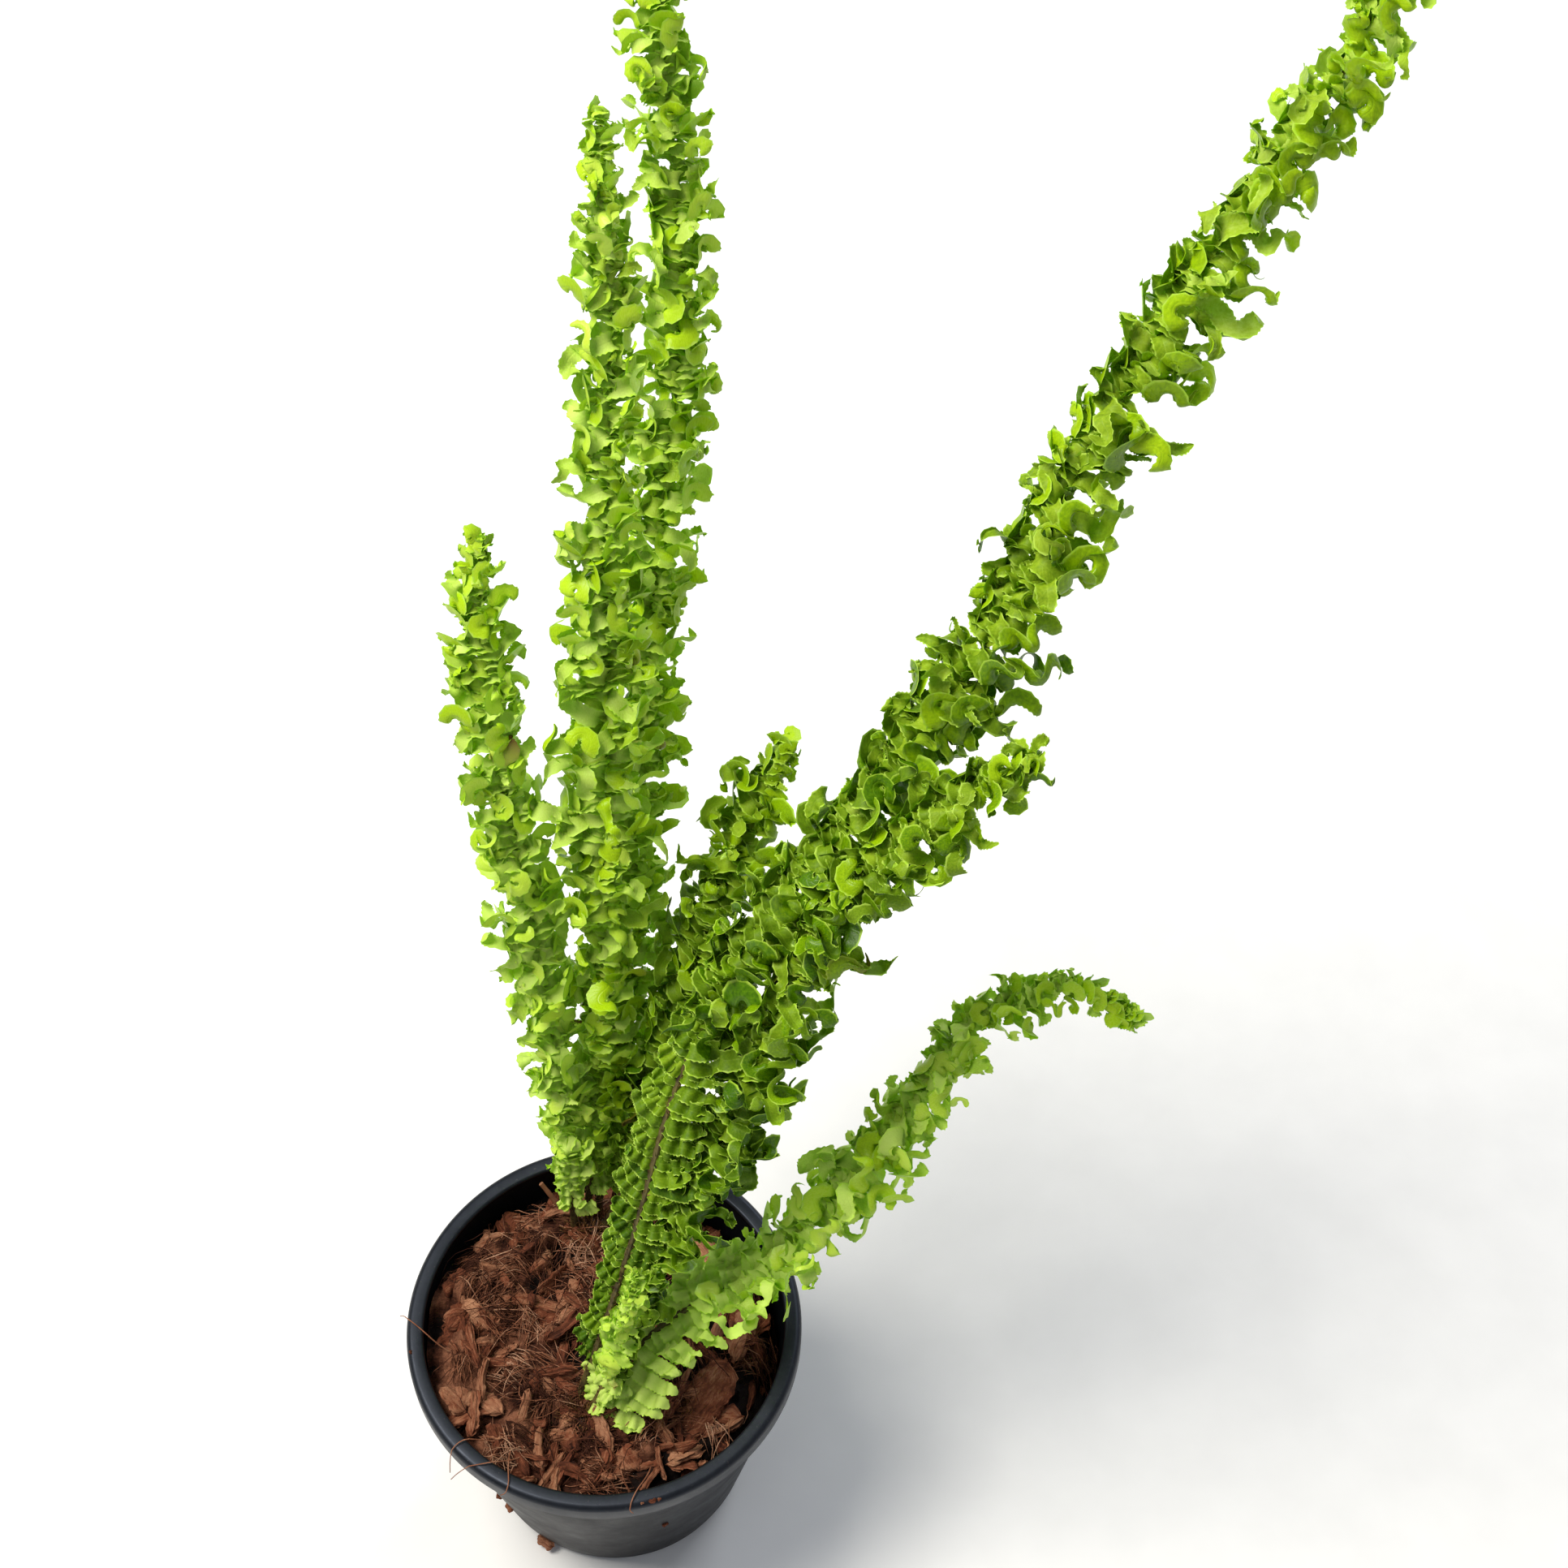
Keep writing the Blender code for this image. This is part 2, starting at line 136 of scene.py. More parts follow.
# %% Mesh helpers
def mesh_piece(name, points, faces, materials, stands_for=(), attributes=None, face_materials=None,
               sharp=50):
    """Makes a piece from arrays of points and of equal-sided faces, and lets it ride on the root body."""
    points = np.asarray(points, np.float32).reshape(-1, 3)
    faces = np.asarray(faces, np.int32)
    mesh = bpy.data.meshes.new(name)
    mesh.vertices.add(len(points))
    mesh.vertices.foreach_set("co", points.ravel())
    mesh.loops.add(faces.size)
    mesh.loops.foreach_set("vertex_index", faces.ravel())
    mesh.polygons.add(len(faces))
    mesh.polygons.foreach_set("loop_start", np.arange(0, faces.size, faces.shape[1], dtype=np.int32))
    if face_materials is not None:
        mesh.polygons.foreach_set("material_index", np.asarray(face_materials, np.int32))
    mesh.update(calc_edges=True)
    for key, values in (attributes or {}).items():
        layer = mesh.attributes.new(key, "FLOAT", "POINT")
        layer.data.foreach_set("value", np.asarray(values, np.float32).ravel())
    mesh.shade_smooth()
    mesh.set_sharp_from_angle(angle=math.radians(sharp))
    for material in materials:
        mesh.materials.append(material)
    piece = bpy.data.objects.new(name, mesh)
    bpy.context.scene.collection.objects.link(piece)
    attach(piece, "root")
    if stands_for:
        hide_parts(*stands_for)
    return piece


def ring_faces(rings, sides):
    """Quads between neighbouring rings of points, the rings being closed loops."""
    ring, side = np.meshgrid(np.arange(rings - 1), np.arange(sides), indexing="ij")
    beside = (side + 1) % sides
    low, high = ring * sides, (ring + 1) * sides
    return np.stack([low + side, low + beside, high + beside, high + side], -1).reshape(-1, 4)


def repeated(faces, copies, points_each):
    """The same faces for each of several copies whose points follow one another."""
    return (faces[None] + np.arange(copies)[:, None, None] * points_each).reshape(-1, faces.shape[1])


def unit(vectors):
    """Vectors brought to length 1."""
    return vectors / np.maximum(np.linalg.norm(vectors, axis=-1, keepdims=True), 1e-12)


def turned(vectors, axes, angles):
    """Vectors turned about unit axes by angles, each with its own."""
    cosine, sine = np.cos(angles)[..., None], np.sin(angles)[..., None]
    along_axis = np.sum(vectors * axes, -1, keepdims=True) * axes
    return vectors * cosine + np.cross(axes, vectors) * sine + along_axis * (1 - cosine)


def eased(x, low, high):
    """0 below low, 1 above high, and a smooth rise between them."""
    share = np.clip((x - low) / (high - low), 0, 1)
    return share * share * (3 - 2 * share)


def rough(points, size, octaves=3, seed=0.0):
    """Fractal noise at each point, about -1 to 1, with lumps of that size in metres."""
    shift = Vector((seed, seed * 1.7, seed * 0.6))
    return np.array([noise.fractal(Vector(p) / size + shift, 1.0, 2.0, octaves) for p in points])


print("a ring of 4 and a ring of 4 give", len(ring_faces(2, 4)), "quads")

# %% [markdown]
# ## Floor, light and camera
# The plant stands on a plain pale floor under an overcast sky: one broad soft light above, a weaker one
# behind that shines through the leaflets, and an even grey surround that keeps the shadows deep. The camera
# looks down at the pot from above its front, through a lens a little longer than a normal one.

# %% Camera
SENSOR = 36.0  # mm
LENS = 63.35  # mm
CAMERA_PLACE = (0.0684, -0.4409, 1.0895)
CAMERA_DOWN = 54.65  # degrees below the horizon


def place_camera():
    """The camera above the pot's front, turned down towards it."""
    camera = bpy.data.objects.new("camera", bpy.data.cameras.new("camera"))
    camera.data.sensor_width = SENSOR
    camera.data.lens = LENS
    camera.data.clip_start = 0.01
    camera.location = CAMERA_PLACE
    camera.rotation_euler = (math.radians(90 - CAMERA_DOWN), 0, 0)
    bpy.context.scene.collection.objects.link(camera)
    bpy.context.scene.camera = camera


place_camera()
print("camera", round(CAMERA_PLACE[2], 2), "m up, looking", CAMERA_DOWN, "degrees down")

# %% Floor and lights
FLOOR_HALF = 4.0  # m, half the floor's side
FLOOR_GRAIN = 300  # clouds of tone for each metre, so about 3 mm wide
bpy.context.scene.view_settings.view_transform = "Standard"


def pale_floor():
    """A matt, nearly white floor that shows the plant's soft shadow."""
    material, tree, output = new_material("matt_white_board")
    grain = add_node(tree, "ShaderNodeTexNoise", {"Scale": FLOOR_GRAIN, "Detail": 3})
    tone = add_node(tree, "ShaderNodeValToRGB", {"stops": [(0.3, "#f3f3f2"), (0.7, "#f7f7f6")]},
                    {"Fac": grain.outputs["Fac"]})
    surface = add_node(tree, "ShaderNodeBsdfPrincipled", {"Roughness": 0.9, "Specular IOR Level": 0.2},
                       {"Base Color": tone.outputs["Color"]})
    tree.links.new(surface.outputs["BSDF"], output.inputs["Surface"])
    corners = [(-FLOOR_HALF, -FLOOR_HALF, 0), (FLOOR_HALF, -FLOOR_HALF, 0), (FLOOR_HALF, FLOOR_HALF, 0),
               (-FLOOR_HALF, FLOOR_HALF, 0)]
    mesh = bpy.data.meshes.new("floor")
    mesh.from_pydata(corners, [], [(0, 1, 2, 3)])
    mesh.materials.append(material)
    floor = bpy.data.objects.new("floor", mesh)
    bpy.context.scene.collection.objects.link(floor)


def soft_light(name, place, towards, side, watts, colour):
    """A square area light at a place, facing a point."""
    light = bpy.data.objects.new(name, bpy.data.lights.new(name, "AREA"))
    light.data.size = side
    light.data.energy = watts
    light.data.color = linear(colour)[:3]
    light.location = place
    light.rotation_euler = (Vector(towards) - Vector(place)).to_track_quat("-Z", "Y").to_euler()
    bpy.context.scene.collection.objects.link(light)


def overcast_sky():
    """An even, faintly cool surround."""
    world = bpy.data.worlds.new("overcast")
    world.use_nodes = True
    world.node_tree.nodes["Background"].inputs["Color"].default_value = linear("#f2f6ff")
    world.node_tree.nodes["Background"].inputs["Strength"].default_value = 0.32
    bpy.context.scene.world = world


pale_floor()
overcast_sky()
soft_light("sky_window", (-0.8, 0.1, 1.9), (0.05, 0.05, 0.2), 0.9, 45, "#fffaf0")
soft_light("back_window", (0.9, 1.2, 1.2), (0.05, 0.05, 0.3), 0.8, 10, "#f4f8ff")

# %% [markdown]
# ## The nursery pot
# A nursery pot is injection-moulded from black polypropylene. Its wall is under two millimetres thick and
# leans outwards so that the pot leaves the mould, and the rim turns over into a short skirt that keeps
# the mouth round. A profile turned about the axis gives all of that in one closed surface. The drainage
# slots are cut from it with a Boolean, and the round is bent a little, as thin plastic never stays true.
# Handling polishes the rim while soil and water dull the wall, so the same plastic comes in two glosses.

# %% Pot profile
pot_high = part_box("pot")[1]
RIM_RADIUS, POT_HEIGHT = pot_high.x, pot_high.z
BASE_RADIUS = 52 * MM
WALL = 1.8 * MM
SKIRT = 9 * MM  # height of the rim's skirt
FLANGE = 6.5 * MM  # width of the rim's flat top
FOOT_RING = 2.5 * MM  # the floor stands this far above the foot
DRAIN_HOLE = 5 * MM  # radius of the hole in the middle of the floor
NECK_RADIUS = RIM_RADIUS - 3 * MM  # the wall's outside under the rim
POT_SIDES = 192


def corner_arc(centre, radius, start, end, steps=5):
    """Points of a rounded corner of the profile, angles in degrees."""
    angles = np.radians(np.linspace(start, end, steps))
    return [(centre[0] + radius * math.cos(a), centre[1] + radius * math.sin(a)) for a in angles]


def wall_at(height):
    """The wall's outer radius at a height."""
    return BASE_RADIUS + (NECK_RADIUS - BASE_RADIUS) * height / (POT_HEIGHT - SKIRT)


def pot_profile():
    """Radius and height round the pot's cut wall: up the outside, over the rim and down the inside."""
    top = POT_HEIGHT
    points = [(DRAIN_HOLE, FOOT_RING), (BASE_RADIUS - 9 * MM, FOOT_RING), (BASE_RADIUS - 7.5 * MM, 0.0)]
    points += corner_arc((BASE_RADIUS - 3 * MM, 3 * MM), 3 * MM, -90, -5, 7)
    points += [(wall_at(h), h) for h in np.linspace(8 * MM, top - SKIRT - 9 * MM, 14)]
    points += [(wall_at(top - SKIRT - 7 * MM) + 0.5 * MM, top - SKIRT - 7 * MM)]
    points += [(wall_at(top - SKIRT) + 0.5 * MM, top - SKIRT + 1 * MM)]
    points += [(NECK_RADIUS + 0.6 * MM, top - 2.6 * MM), (RIM_RADIUS - 1.6 * MM, top - 3.0 * MM)]
    points += [(RIM_RADIUS - 1.5 * MM, top - SKIRT + 0.5 * MM)]
    points += corner_arc((RIM_RADIUS - 0.75 * MM, top - SKIRT + 0.75 * MM), 0.75 * MM, -180, 0, 7)
    points += corner_arc((RIM_RADIUS - 2.6 * MM, top - 2.6 * MM), 2.6 * MM, 0, 85, 9)
    points += corner_arc((RIM_RADIUS - FLANGE + 1.2 * MM, top - 1.4 * MM), 1.2 * MM, 95, 180, 7)
    inside = [h for h in np.linspace(top - 6 * MM, FOOT_RING + WALL + 3 * MM, 12)]
    points += [(wall_at(h) - WALL, h) for h in inside]
    points += corner_arc((wall_at(0) - WALL - 3 * MM, FOOT_RING + WALL + 3 * MM), 3 * MM, -10, -90, 5)
    return points + [(DRAIN_HOLE, FOOT_RING + WALL)]


print("pot", round(2 * RIM_RADIUS / MM), "mm wide,", len(pot_profile()), "profile points")


# %% Polypropylene
def black_polypropylene(name, gloss):
    """Moulded polypropylene: a satin black with a bluish sky sheen, fine drag lines and watering dust."""
    material, tree, output = new_material(name)
    place = add_node(tree, "ShaderNodeTexCoord").outputs["Object"]
    drag = add_node(tree, "ShaderNodeMapping", {"Scale": (1.0, 1.0, 0.05)}, {"Vector": place})
    lines_in = add_node(tree, "ShaderNodeTexNoise", {"Scale": 1 / (2.2 * MM), "Detail": 3},
                        {"Vector": drag.outputs["Vector"]})
    cloud = add_node(tree, "ShaderNodeTexNoise", {"Scale": 1 / (22 * MM), "Detail": 6, "Roughness": 0.65},
                     {"Vector": place})
    specks = add_node(tree, "ShaderNodeTexNoise", {"Scale": 1 / (1.1 * MM), "Detail": 4, "Roughness": 0.7},
                      {"Vector": place})
    height = add_node(tree, "ShaderNodeSeparateXYZ", {}, {"Vector": place}).outputs["Z"]
    low_down = add_node(tree, "ShaderNodeMapRange", {1: 0.0, 2: 0.07, 3: 0.30, 4: 0.06}, {0: height})
    settled = calc(tree, "MULTIPLY", cloud.outputs["Fac"], low_down.outputs[0])
    spots = add_node(tree, "ShaderNodeMapRange", {1: 0.64, 2: 0.72}, {0: specks.outputs["Fac"]}).outputs[0]
    dust = calc(tree, "ADD", calc(tree, "MULTIPLY", settled, 0.28), calc(tree, "MULTIPLY", spots, 0.2))
    body = add_node(tree, "ShaderNodeValToRGB", {"stops": [(0.3, "#06080b"), (0.75, "#0f1318")]},
                    {"Fac": lines_in.outputs["Fac"]})
    colour = blended(tree, dust, body.outputs["Color"], "#7d7266")
    roughness = add_node(tree, "ShaderNodeMapRange", {1: 0.3, 2: 0.7, 3: 0.34, 4: 0.52},
                         {0: cloud.outputs["Fac"]})
    relief = calc(tree, "ADD", calc(tree, "MULTIPLY", lines_in.outputs["Fac"], 0.5),
                  calc(tree, "MULTIPLY", spots, 0.5))
    bump = add_node(tree, "ShaderNodeBump", {"Strength": 0.35, "Distance": 0.15 * MM}, {"Height": relief})
    plastic = add_node(tree, "ShaderNodeBsdfPrincipled", {"IOR": 1.49, "Specular IOR Level": gloss,
                                                          "Specular Tint": linear("#d6e2fa")},
                       {"Base Color": colour, "Roughness": roughness.outputs[0],
                        "Normal": bump.outputs["Normal"]})
    tree.links.new(plastic.outputs["BSDF"], output.inputs["Surface"])
    return material


scuffed_wall = black_polypropylene("black_polypropylene_scuffed", 0.1)
handled_rim = black_polypropylene("black_polypropylene_rim", 0.45)
print("plastics:", scuffed_wall.name, "and", handled_rim.name)

# %% Turn the pot and cut its slots
SLOTS = 6
SLOT_HALF_WIDTH, SLOT_HALF_LENGTH, SLOT_CIRCLE = 2 * MM, 7 * MM, 34 * MM
CUTTER_REACH = 10 * MM  # how far the cutters stand out above and below the foot


def slot_cutters():
    """Six round-ended bars standing through the floor, as one mesh object."""
    points, faces = [], []
    ends = corner_arc((SLOT_CIRCLE + SLOT_HALF_LENGTH - SLOT_HALF_WIDTH, 0), SLOT_HALF_WIDTH, -90, 90)
    ends += corner_arc((SLOT_CIRCLE - SLOT_HALF_LENGTH + SLOT_HALF_WIDTH, 0), SLOT_HALF_WIDTH, 90, 270)
    sides = len(ends)
    for k in range(SLOTS):
        turn = math.tau * k / SLOTS
        first = len(points)
        cosine, sine = math.cos(turn), math.sin(turn)
        for height in (-CUTTER_REACH, CUTTER_REACH):
            points += [(x * cosine - y * sine, x * sine + y * cosine, height) for x, y in ends]
        faces.append([first + s for s in reversed(range(sides))])
        faces.append([first + sides + s for s in range(sides)])
        faces += [[first + s, first + (s + 1) % sides, first + sides + (s + 1) % sides, first + sides + s]
                  for s in range(sides)]
    mesh = bpy.data.meshes.new("slot_cutters")
    mesh.from_pydata(points, [], faces)
    cutters = bpy.data.objects.new("slot_cutters", mesh)
    bpy.context.scene.collection.objects.link(cutters)
    return cutters


def turn_pot():
    """The pot, slightly out of round, with its slots cut."""
    profile = np.array(pot_profile())
    angles = np.arange(POT_SIDES) * math.tau / POT_SIDES
    sway = 1 + 0.0035 * np.cos(2 * angles + 0.6) + 0.002 * np.cos(3 * angles + 2.1)
    share = (profile[:, 1] / POT_HEIGHT)[:, None] ** 2
    radius = profile[:, :1] * (1 + (sway[None] - 1) * share)
    points = np.stack([radius * np.cos(angles), radius * np.sin(angles),
                       np.repeat(profile[:, 1:], POT_SIDES, 1)], -1)
    faces = ring_faces(len(profile) + 1, POT_SIDES) % (len(profile) * POT_SIDES)
    rim = points.reshape(-1, 3)[faces][..., 2].min(1) > POT_HEIGHT - SKIRT - 0.1 * MM
    pot = mesh_piece("nursery_pot", points, faces, (scuffed_wall, handled_rim), ("pot",),
                     face_materials=rim, sharp=35)
    cutters = slot_cutters()
    cut = pot.modifiers.new("slots", "BOOLEAN")
    cut.object = cutters
    cut.solver = "EXACT"
    bpy.context.view_layer.update()
    whole = pot.evaluated_get(bpy.context.evaluated_depsgraph_get())
    pot.data = bpy.data.meshes.new_from_object(whole)
    pot.modifiers.clear()
    pot.data.set_sharp_from_angle(angle=math.radians(35))
    bpy.data.objects.remove(cutters)
    return pot


print("pot of", len(turn_pot().data.polygons), "faces")

# %% [markdown]
# ## Coconut husk
# The medium is chopped coconut husk: a bed of crumbs, torn chips a few centimetres long, and tufts of coir
# whose fibres lie side by side until some stray out. The bed is a height map turned into a closed plug that
# fills the pot. The chips are lofted and then torn along their grain by noise, and every fibre is a thin
# closed tube. A few fibres hang over the rim, and watering has left crumbs on the outside of the pot.

# %% Shape of the bed
FILL_LEVEL = 100 * MM
BED_GAP = 0.4 * MM  # between the bed and the wall
BED_RADIUS = wall_at(FILL_LEVEL) - WALL - BED_GAP
HEAP_RISE = 5.5 * MM  # how far the heaped side stands above the bed's level, and the other side below it
BIG_LUMP, SMALL_LUMP = 15 * MM, 5 * MM  # widths of the bed's lumps


def bed_height(x, y):
    """The bed's level at points x, y: heaped to the front left, sunk at the back right and by the wall."""
    flat = np.stack([x, y, np.zeros_like(x)], -1)
    radius = np.hypot(x, y) / BED_RADIUS
    heap = np.clip(-0.9 * x / BED_RADIUS - 0.45 * y / BED_RADIUS, -1, 1)
    lumps = rough(flat, BIG_LUMP, 3, 3.1) * 5.0 * MM + rough(flat, SMALL_LUMP, 3, 8.4) * 1.8 * MM
    gap = (7 * MM - 5 * MM * heap) * eased(radius, 0.84, 1.0)
    return FILL_LEVEL + 1.0 * MM + HEAP_RISE * heap + lumps - np.maximum(gap, 0.0)


def husk_bed_points(rings=104, sides=280):
    """Rings of points from the bed's middle out to the wall and down to the pot's floor."""
    angles = np.arange(sides) * math.tau / sides
    shares = np.sqrt(np.linspace(0.0004, 1, rings))
    x = (BED_RADIUS * shares[:, None] * np.cos(angles)).ravel()
    y = (BED_RADIUS * shares[:, None] * np.sin(angles)).ravel()
    top = np.stack([x, y, bed_height(x, y)], -1)
    crumb = np.array([noise.noise(Vector(p) / (1.6 * MM)) for p in top]) * 0.9 * MM
    grain = np.array([noise.noise(Vector((p[0] * 2.2, p[1] * 0.5, p[2])) / (1.3 * MM)) for p in top])
    edge = 1 - eased(np.hypot(x, y) / BED_RADIUS, 0.95, 1.0)
    top[:, 2] += (crumb + grain * 0.6 * MM) * edge
    top[:, :2] *= np.minimum(1.0, (wall_at(top[:, 2:]) - WALL - BED_GAP) / BED_RADIUS)
    below = []
    floor_top = FOOT_RING + WALL
    for height in (0.6 * FILL_LEVEL, 0.3 * FILL_LEVEL, floor_top + 4 * MM, floor_top + 0.5 * MM):
        radius = wall_at(height) - WALL - (4.0 if height < 8 * MM else 0.5) * MM
        below.append(np.stack([radius * np.cos(angles), radius * np.sin(angles), 0 * angles + height], -1))
    below.append(below[-1] * (0.02, 0.02, 1.0))
    return np.concatenate([top.reshape(rings, sides, 3), np.array(below)])


def tube_faces(rings, sides):
    """Quads of a closed tube with an even number of sides: its wall and both flat ends."""
    caps = [[i, i + 1, sides - 2 - i, sides - 1 - i] for i in range(sides // 2 - 1)]
    last = (rings - 1) * sides
    far = [[last + i for i in reversed(cap)] for cap in caps]
    wall = ring_faces(rings, sides)
    return np.concatenate([wall[:, ::-1], np.array(caps), np.array(far)])


# %% Husk material
def torn_husk(name, dark, middle, light, streak):
    """Torn husk: dry pith and fibre, matt, streaked along its grain, and on the bed darker in its hollows as
    painted shade.
    """
    material, tree, output = new_material(name)
    place = add_node(tree, "ShaderNodeTexCoord").outputs["Object"]
    grain = add_node(tree, "ShaderNodeCombineXYZ", {}, {"X": reading(tree, "grain_along_mm"),
                                                        "Y": reading(tree, "grain_across_mm"),
                                                        "Z": reading(tree, "husk_tone")})
    stretched = add_node(tree, "ShaderNodeMapping", {"Scale": (0.16, 1.0, 7.0)},
                         {"Vector": grain.outputs["Vector"]})
    streaks = add_node(tree, "ShaderNodeTexNoise", {"Scale": 1 / streak, "Detail": 5, "Roughness": 0.7},
                       {"Vector": stretched.outputs["Vector"]})
    patches = add_node(tree, "ShaderNodeTexNoise", {"Scale": 1 / (7 * MM), "Detail": 4}, {"Vector": place})
    crumbs = add_node(tree, "ShaderNodeTexNoise", {"Scale": 1 / (0.9 * MM), "Detail": 4}, {"Vector": place})
    share = calc(tree, "MULTIPLY_ADD", streaks.outputs["Fac"], 0.55,
                 calc(tree, "MULTIPLY", patches.outputs["Fac"], 0.35))
    # The piece's tone: a random tone on the chips and fibres, and painted shade that follows the height on
    # the bed.
    share = calc(tree, "ADD", share, calc(tree, "MULTIPLY", reading(tree, "husk_tone"), 0.22))
    colour = add_node(tree, "ShaderNodeValToRGB", {"stops": [(0.36, dark), (0.54, middle), (0.78, light)]},
                      {"Fac": share})
    relief = calc(tree, "ADD", streaks.outputs["Fac"], calc(tree, "MULTIPLY", crumbs.outputs["Fac"], 0.6))
    bump = add_node(tree, "ShaderNodeBump", {"Strength": 1.0, "Distance": 0.9 * MM}, {"Height": relief})
    husk = add_node(tree, "ShaderNodeBsdfPrincipled", {"Roughness": 0.88, "Specular IOR Level": 0.2},
                    {"Base Color": colour.outputs["Color"], "Normal": bump.outputs["Normal"]})
    tree.links.new(husk.outputs["BSDF"], output.inputs["Surface"])
    return material


bed_husk = torn_husk("coconut_pith", "#120805", "#4e2a1b", "#8a5a42", 1.0)
chip_husk = torn_husk("coconut_husk_chip", "#26110a", "#7a432c", "#c08c6a", 0.7)
fibre_husk = torn_husk("coir_fibre", "#3c1e12", "#8e5a40", "#d0a688", 0.7)
print("husk in three cuts:", bed_husk.name, chip_husk.name, fibre_husk.name)

# %% The bed
bed = husk_bed_points()
bed_rings, bed_sides = bed.shape[:2]
bed_flat = bed.reshape(-1, 3)
# The bed's tone is painted shade: it follows the bed's height, so its hollows and the sunken ring by the wall
# come out darker and its lumps lighter.
bed_readings = {"grain_along_mm": bed_flat[:, 0] / MM, "grain_across_mm": bed_flat[:, 1] / MM,
                "husk_tone": (bed_flat[:, 2] - FILL_LEVEL - 2 * MM) / (3.0 * MM)}
mesh_piece("husk_bed", bed_flat, tube_faces(bed_rings, bed_sides), (bed_husk,),
           ("growing_medium",), bed_readings, sharp=80)
print("bed of", len(bed_flat), "points, up to", round(bed_flat[:, 2].max() / MM, 1), "mm")

# %% Torn chips
CHIP_RINGS, CHIP_SIDES = 22, 18


def chip_shape(length, width, thickness, rng):
    """A chip along X: blunt torn ends, a hollow side, and ridges along its grain."""
    along = np.linspace(-1, 1, CHIP_RINGS)
    angles = np.arange(CHIP_SIDES) * math.tau / CHIP_SIDES
    fullness = np.clip(1 - np.abs(along) ** rng.uniform(3.5, 7), 0.0, 1) ** 0.45
    swell = np.sin(along * rng.uniform(2, 5) + rng.uniform(0, 6))
    fullness = np.maximum(fullness, 0.06) * (1 + 0.16 * swell)
    square = (np.abs(np.cos(angles)) ** 3 + np.abs(np.sin(angles)) ** 3) ** (-1 / 3)
    ridges = rng.normal(0, 1, CHIP_SIDES)
    drift = rng.normal(0, 1, (4, CHIP_SIDES))
    waves = sum(d[None] * np.sin((k + 1) * 2.2 * along[:, None] + k) / (k + 1) for k, d in enumerate(drift))
    radius = fullness[:, None] * square[None] * (1 + 0.14 * ridges[None] + 0.09 * waves)
    tear = rng.normal(0, 0.09, CHIP_SIDES)
    ball = np.stack([np.repeat(along[:, None] * length, CHIP_SIDES, 1), width * radius * np.cos(angles),
                     thickness * radius * np.sin(angles)], -1).reshape(-1, 3)
    radius = radius * (1 + 0.22 * rough(ball, 3.5 * MM, 3, rng.uniform(0, 50)).reshape(radius.shape))
    x = length / 2 * along[:, None] * (1 + tear[None] * np.abs(along[:, None]) ** 2)
    y = width / 2 * radius * np.cos(angles) + width * rng.uniform(-0.15, 0.15) * (along ** 2)[:, None]
    z = thickness / 2 * radius * np.sin(angles) + thickness * rng.uniform(-0.4, 0.4) * (along ** 2)[:, None]
    across = angles / math.tau * (width + thickness) * 2 / MM
    readings = {"grain_along_mm": x / MM, "grain_across_mm": np.broadcast_to(across, x.shape),
                "husk_tone": np.full(x.shape, rng.random())}
    return np.stack([x, y, z], -1).reshape(-1, 3), {k: v.ravel() for k, v in readings.items()}


def chip_axes(node):
    """The middle, the three sizes and the three directions of a chip in the frame, longest first."""
    corners = np.array([v.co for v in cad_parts[node].data.vertices])
    middle = (corners.max(0) + corners.min(0)) / 2
    directions = np.linalg.svd(corners - corners.mean(0), full_matrices=False)[2]
    if np.linalg.det(directions) < 0:
        directions[2] *= -1
    return middle, np.ptp((corners - middle) @ directions.T, axis=0), directions


CHIP_FACES = tube_faces(CHIP_RINGS, CHIP_SIDES)
chip_nodes = sorted(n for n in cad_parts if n.startswith("husk_chip_"))
for index, node in enumerate(chip_nodes):
    middle, sizes, directions = chip_axes(node)
    points, readings = chip_shape(*sizes, np.random.default_rng(40 + index))
    mesh_piece("torn_" + node, points @ directions + middle, CHIP_FACES, (chip_husk,), (node,),
               readings, sharp=70)
print(len(chip_nodes), "large chips")

# %% Small chips heaped between the large ones
SMALL_CHIPS = 240
CHIP_GAP = 2.2 * MM  # keeps the small chips' corners off the wall


def chips_piece(name, chips):
    """Many chips as one piece. Each is a pair: its placed points, and what the husk material reads there."""
    points = np.concatenate([placed for placed, _ in chips])
    readings = {key: np.concatenate([each[key] for _, each in chips]) for key in chips[0][1]}
    faces = repeated(CHIP_FACES, len(chips), CHIP_RINGS * CHIP_SIDES)
    return mesh_piece(name, points, faces, (chip_husk,), (), readings, sharp=70)


def tilt(heading, pitch, roll):
    """The turn that rolls a chip about its length, pitches it, and heads it round the vertical."""
    cosine, sine = np.cos([heading, pitch, roll]), np.sin([heading, pitch, roll])
    round_vertical = np.array([[cosine[0], -sine[0], 0], [sine[0], cosine[0], 0], [0, 0, 1]])
    nod = np.array([[cosine[1], 0, sine[1]], [0, 1, 0], [-sine[1], 0, cosine[1]]])
    round_length = np.array([[1, 0, 0], [0, cosine[2], -sine[2]], [0, sine[2], cosine[2]]])
    return round_vertical @ nod @ round_length


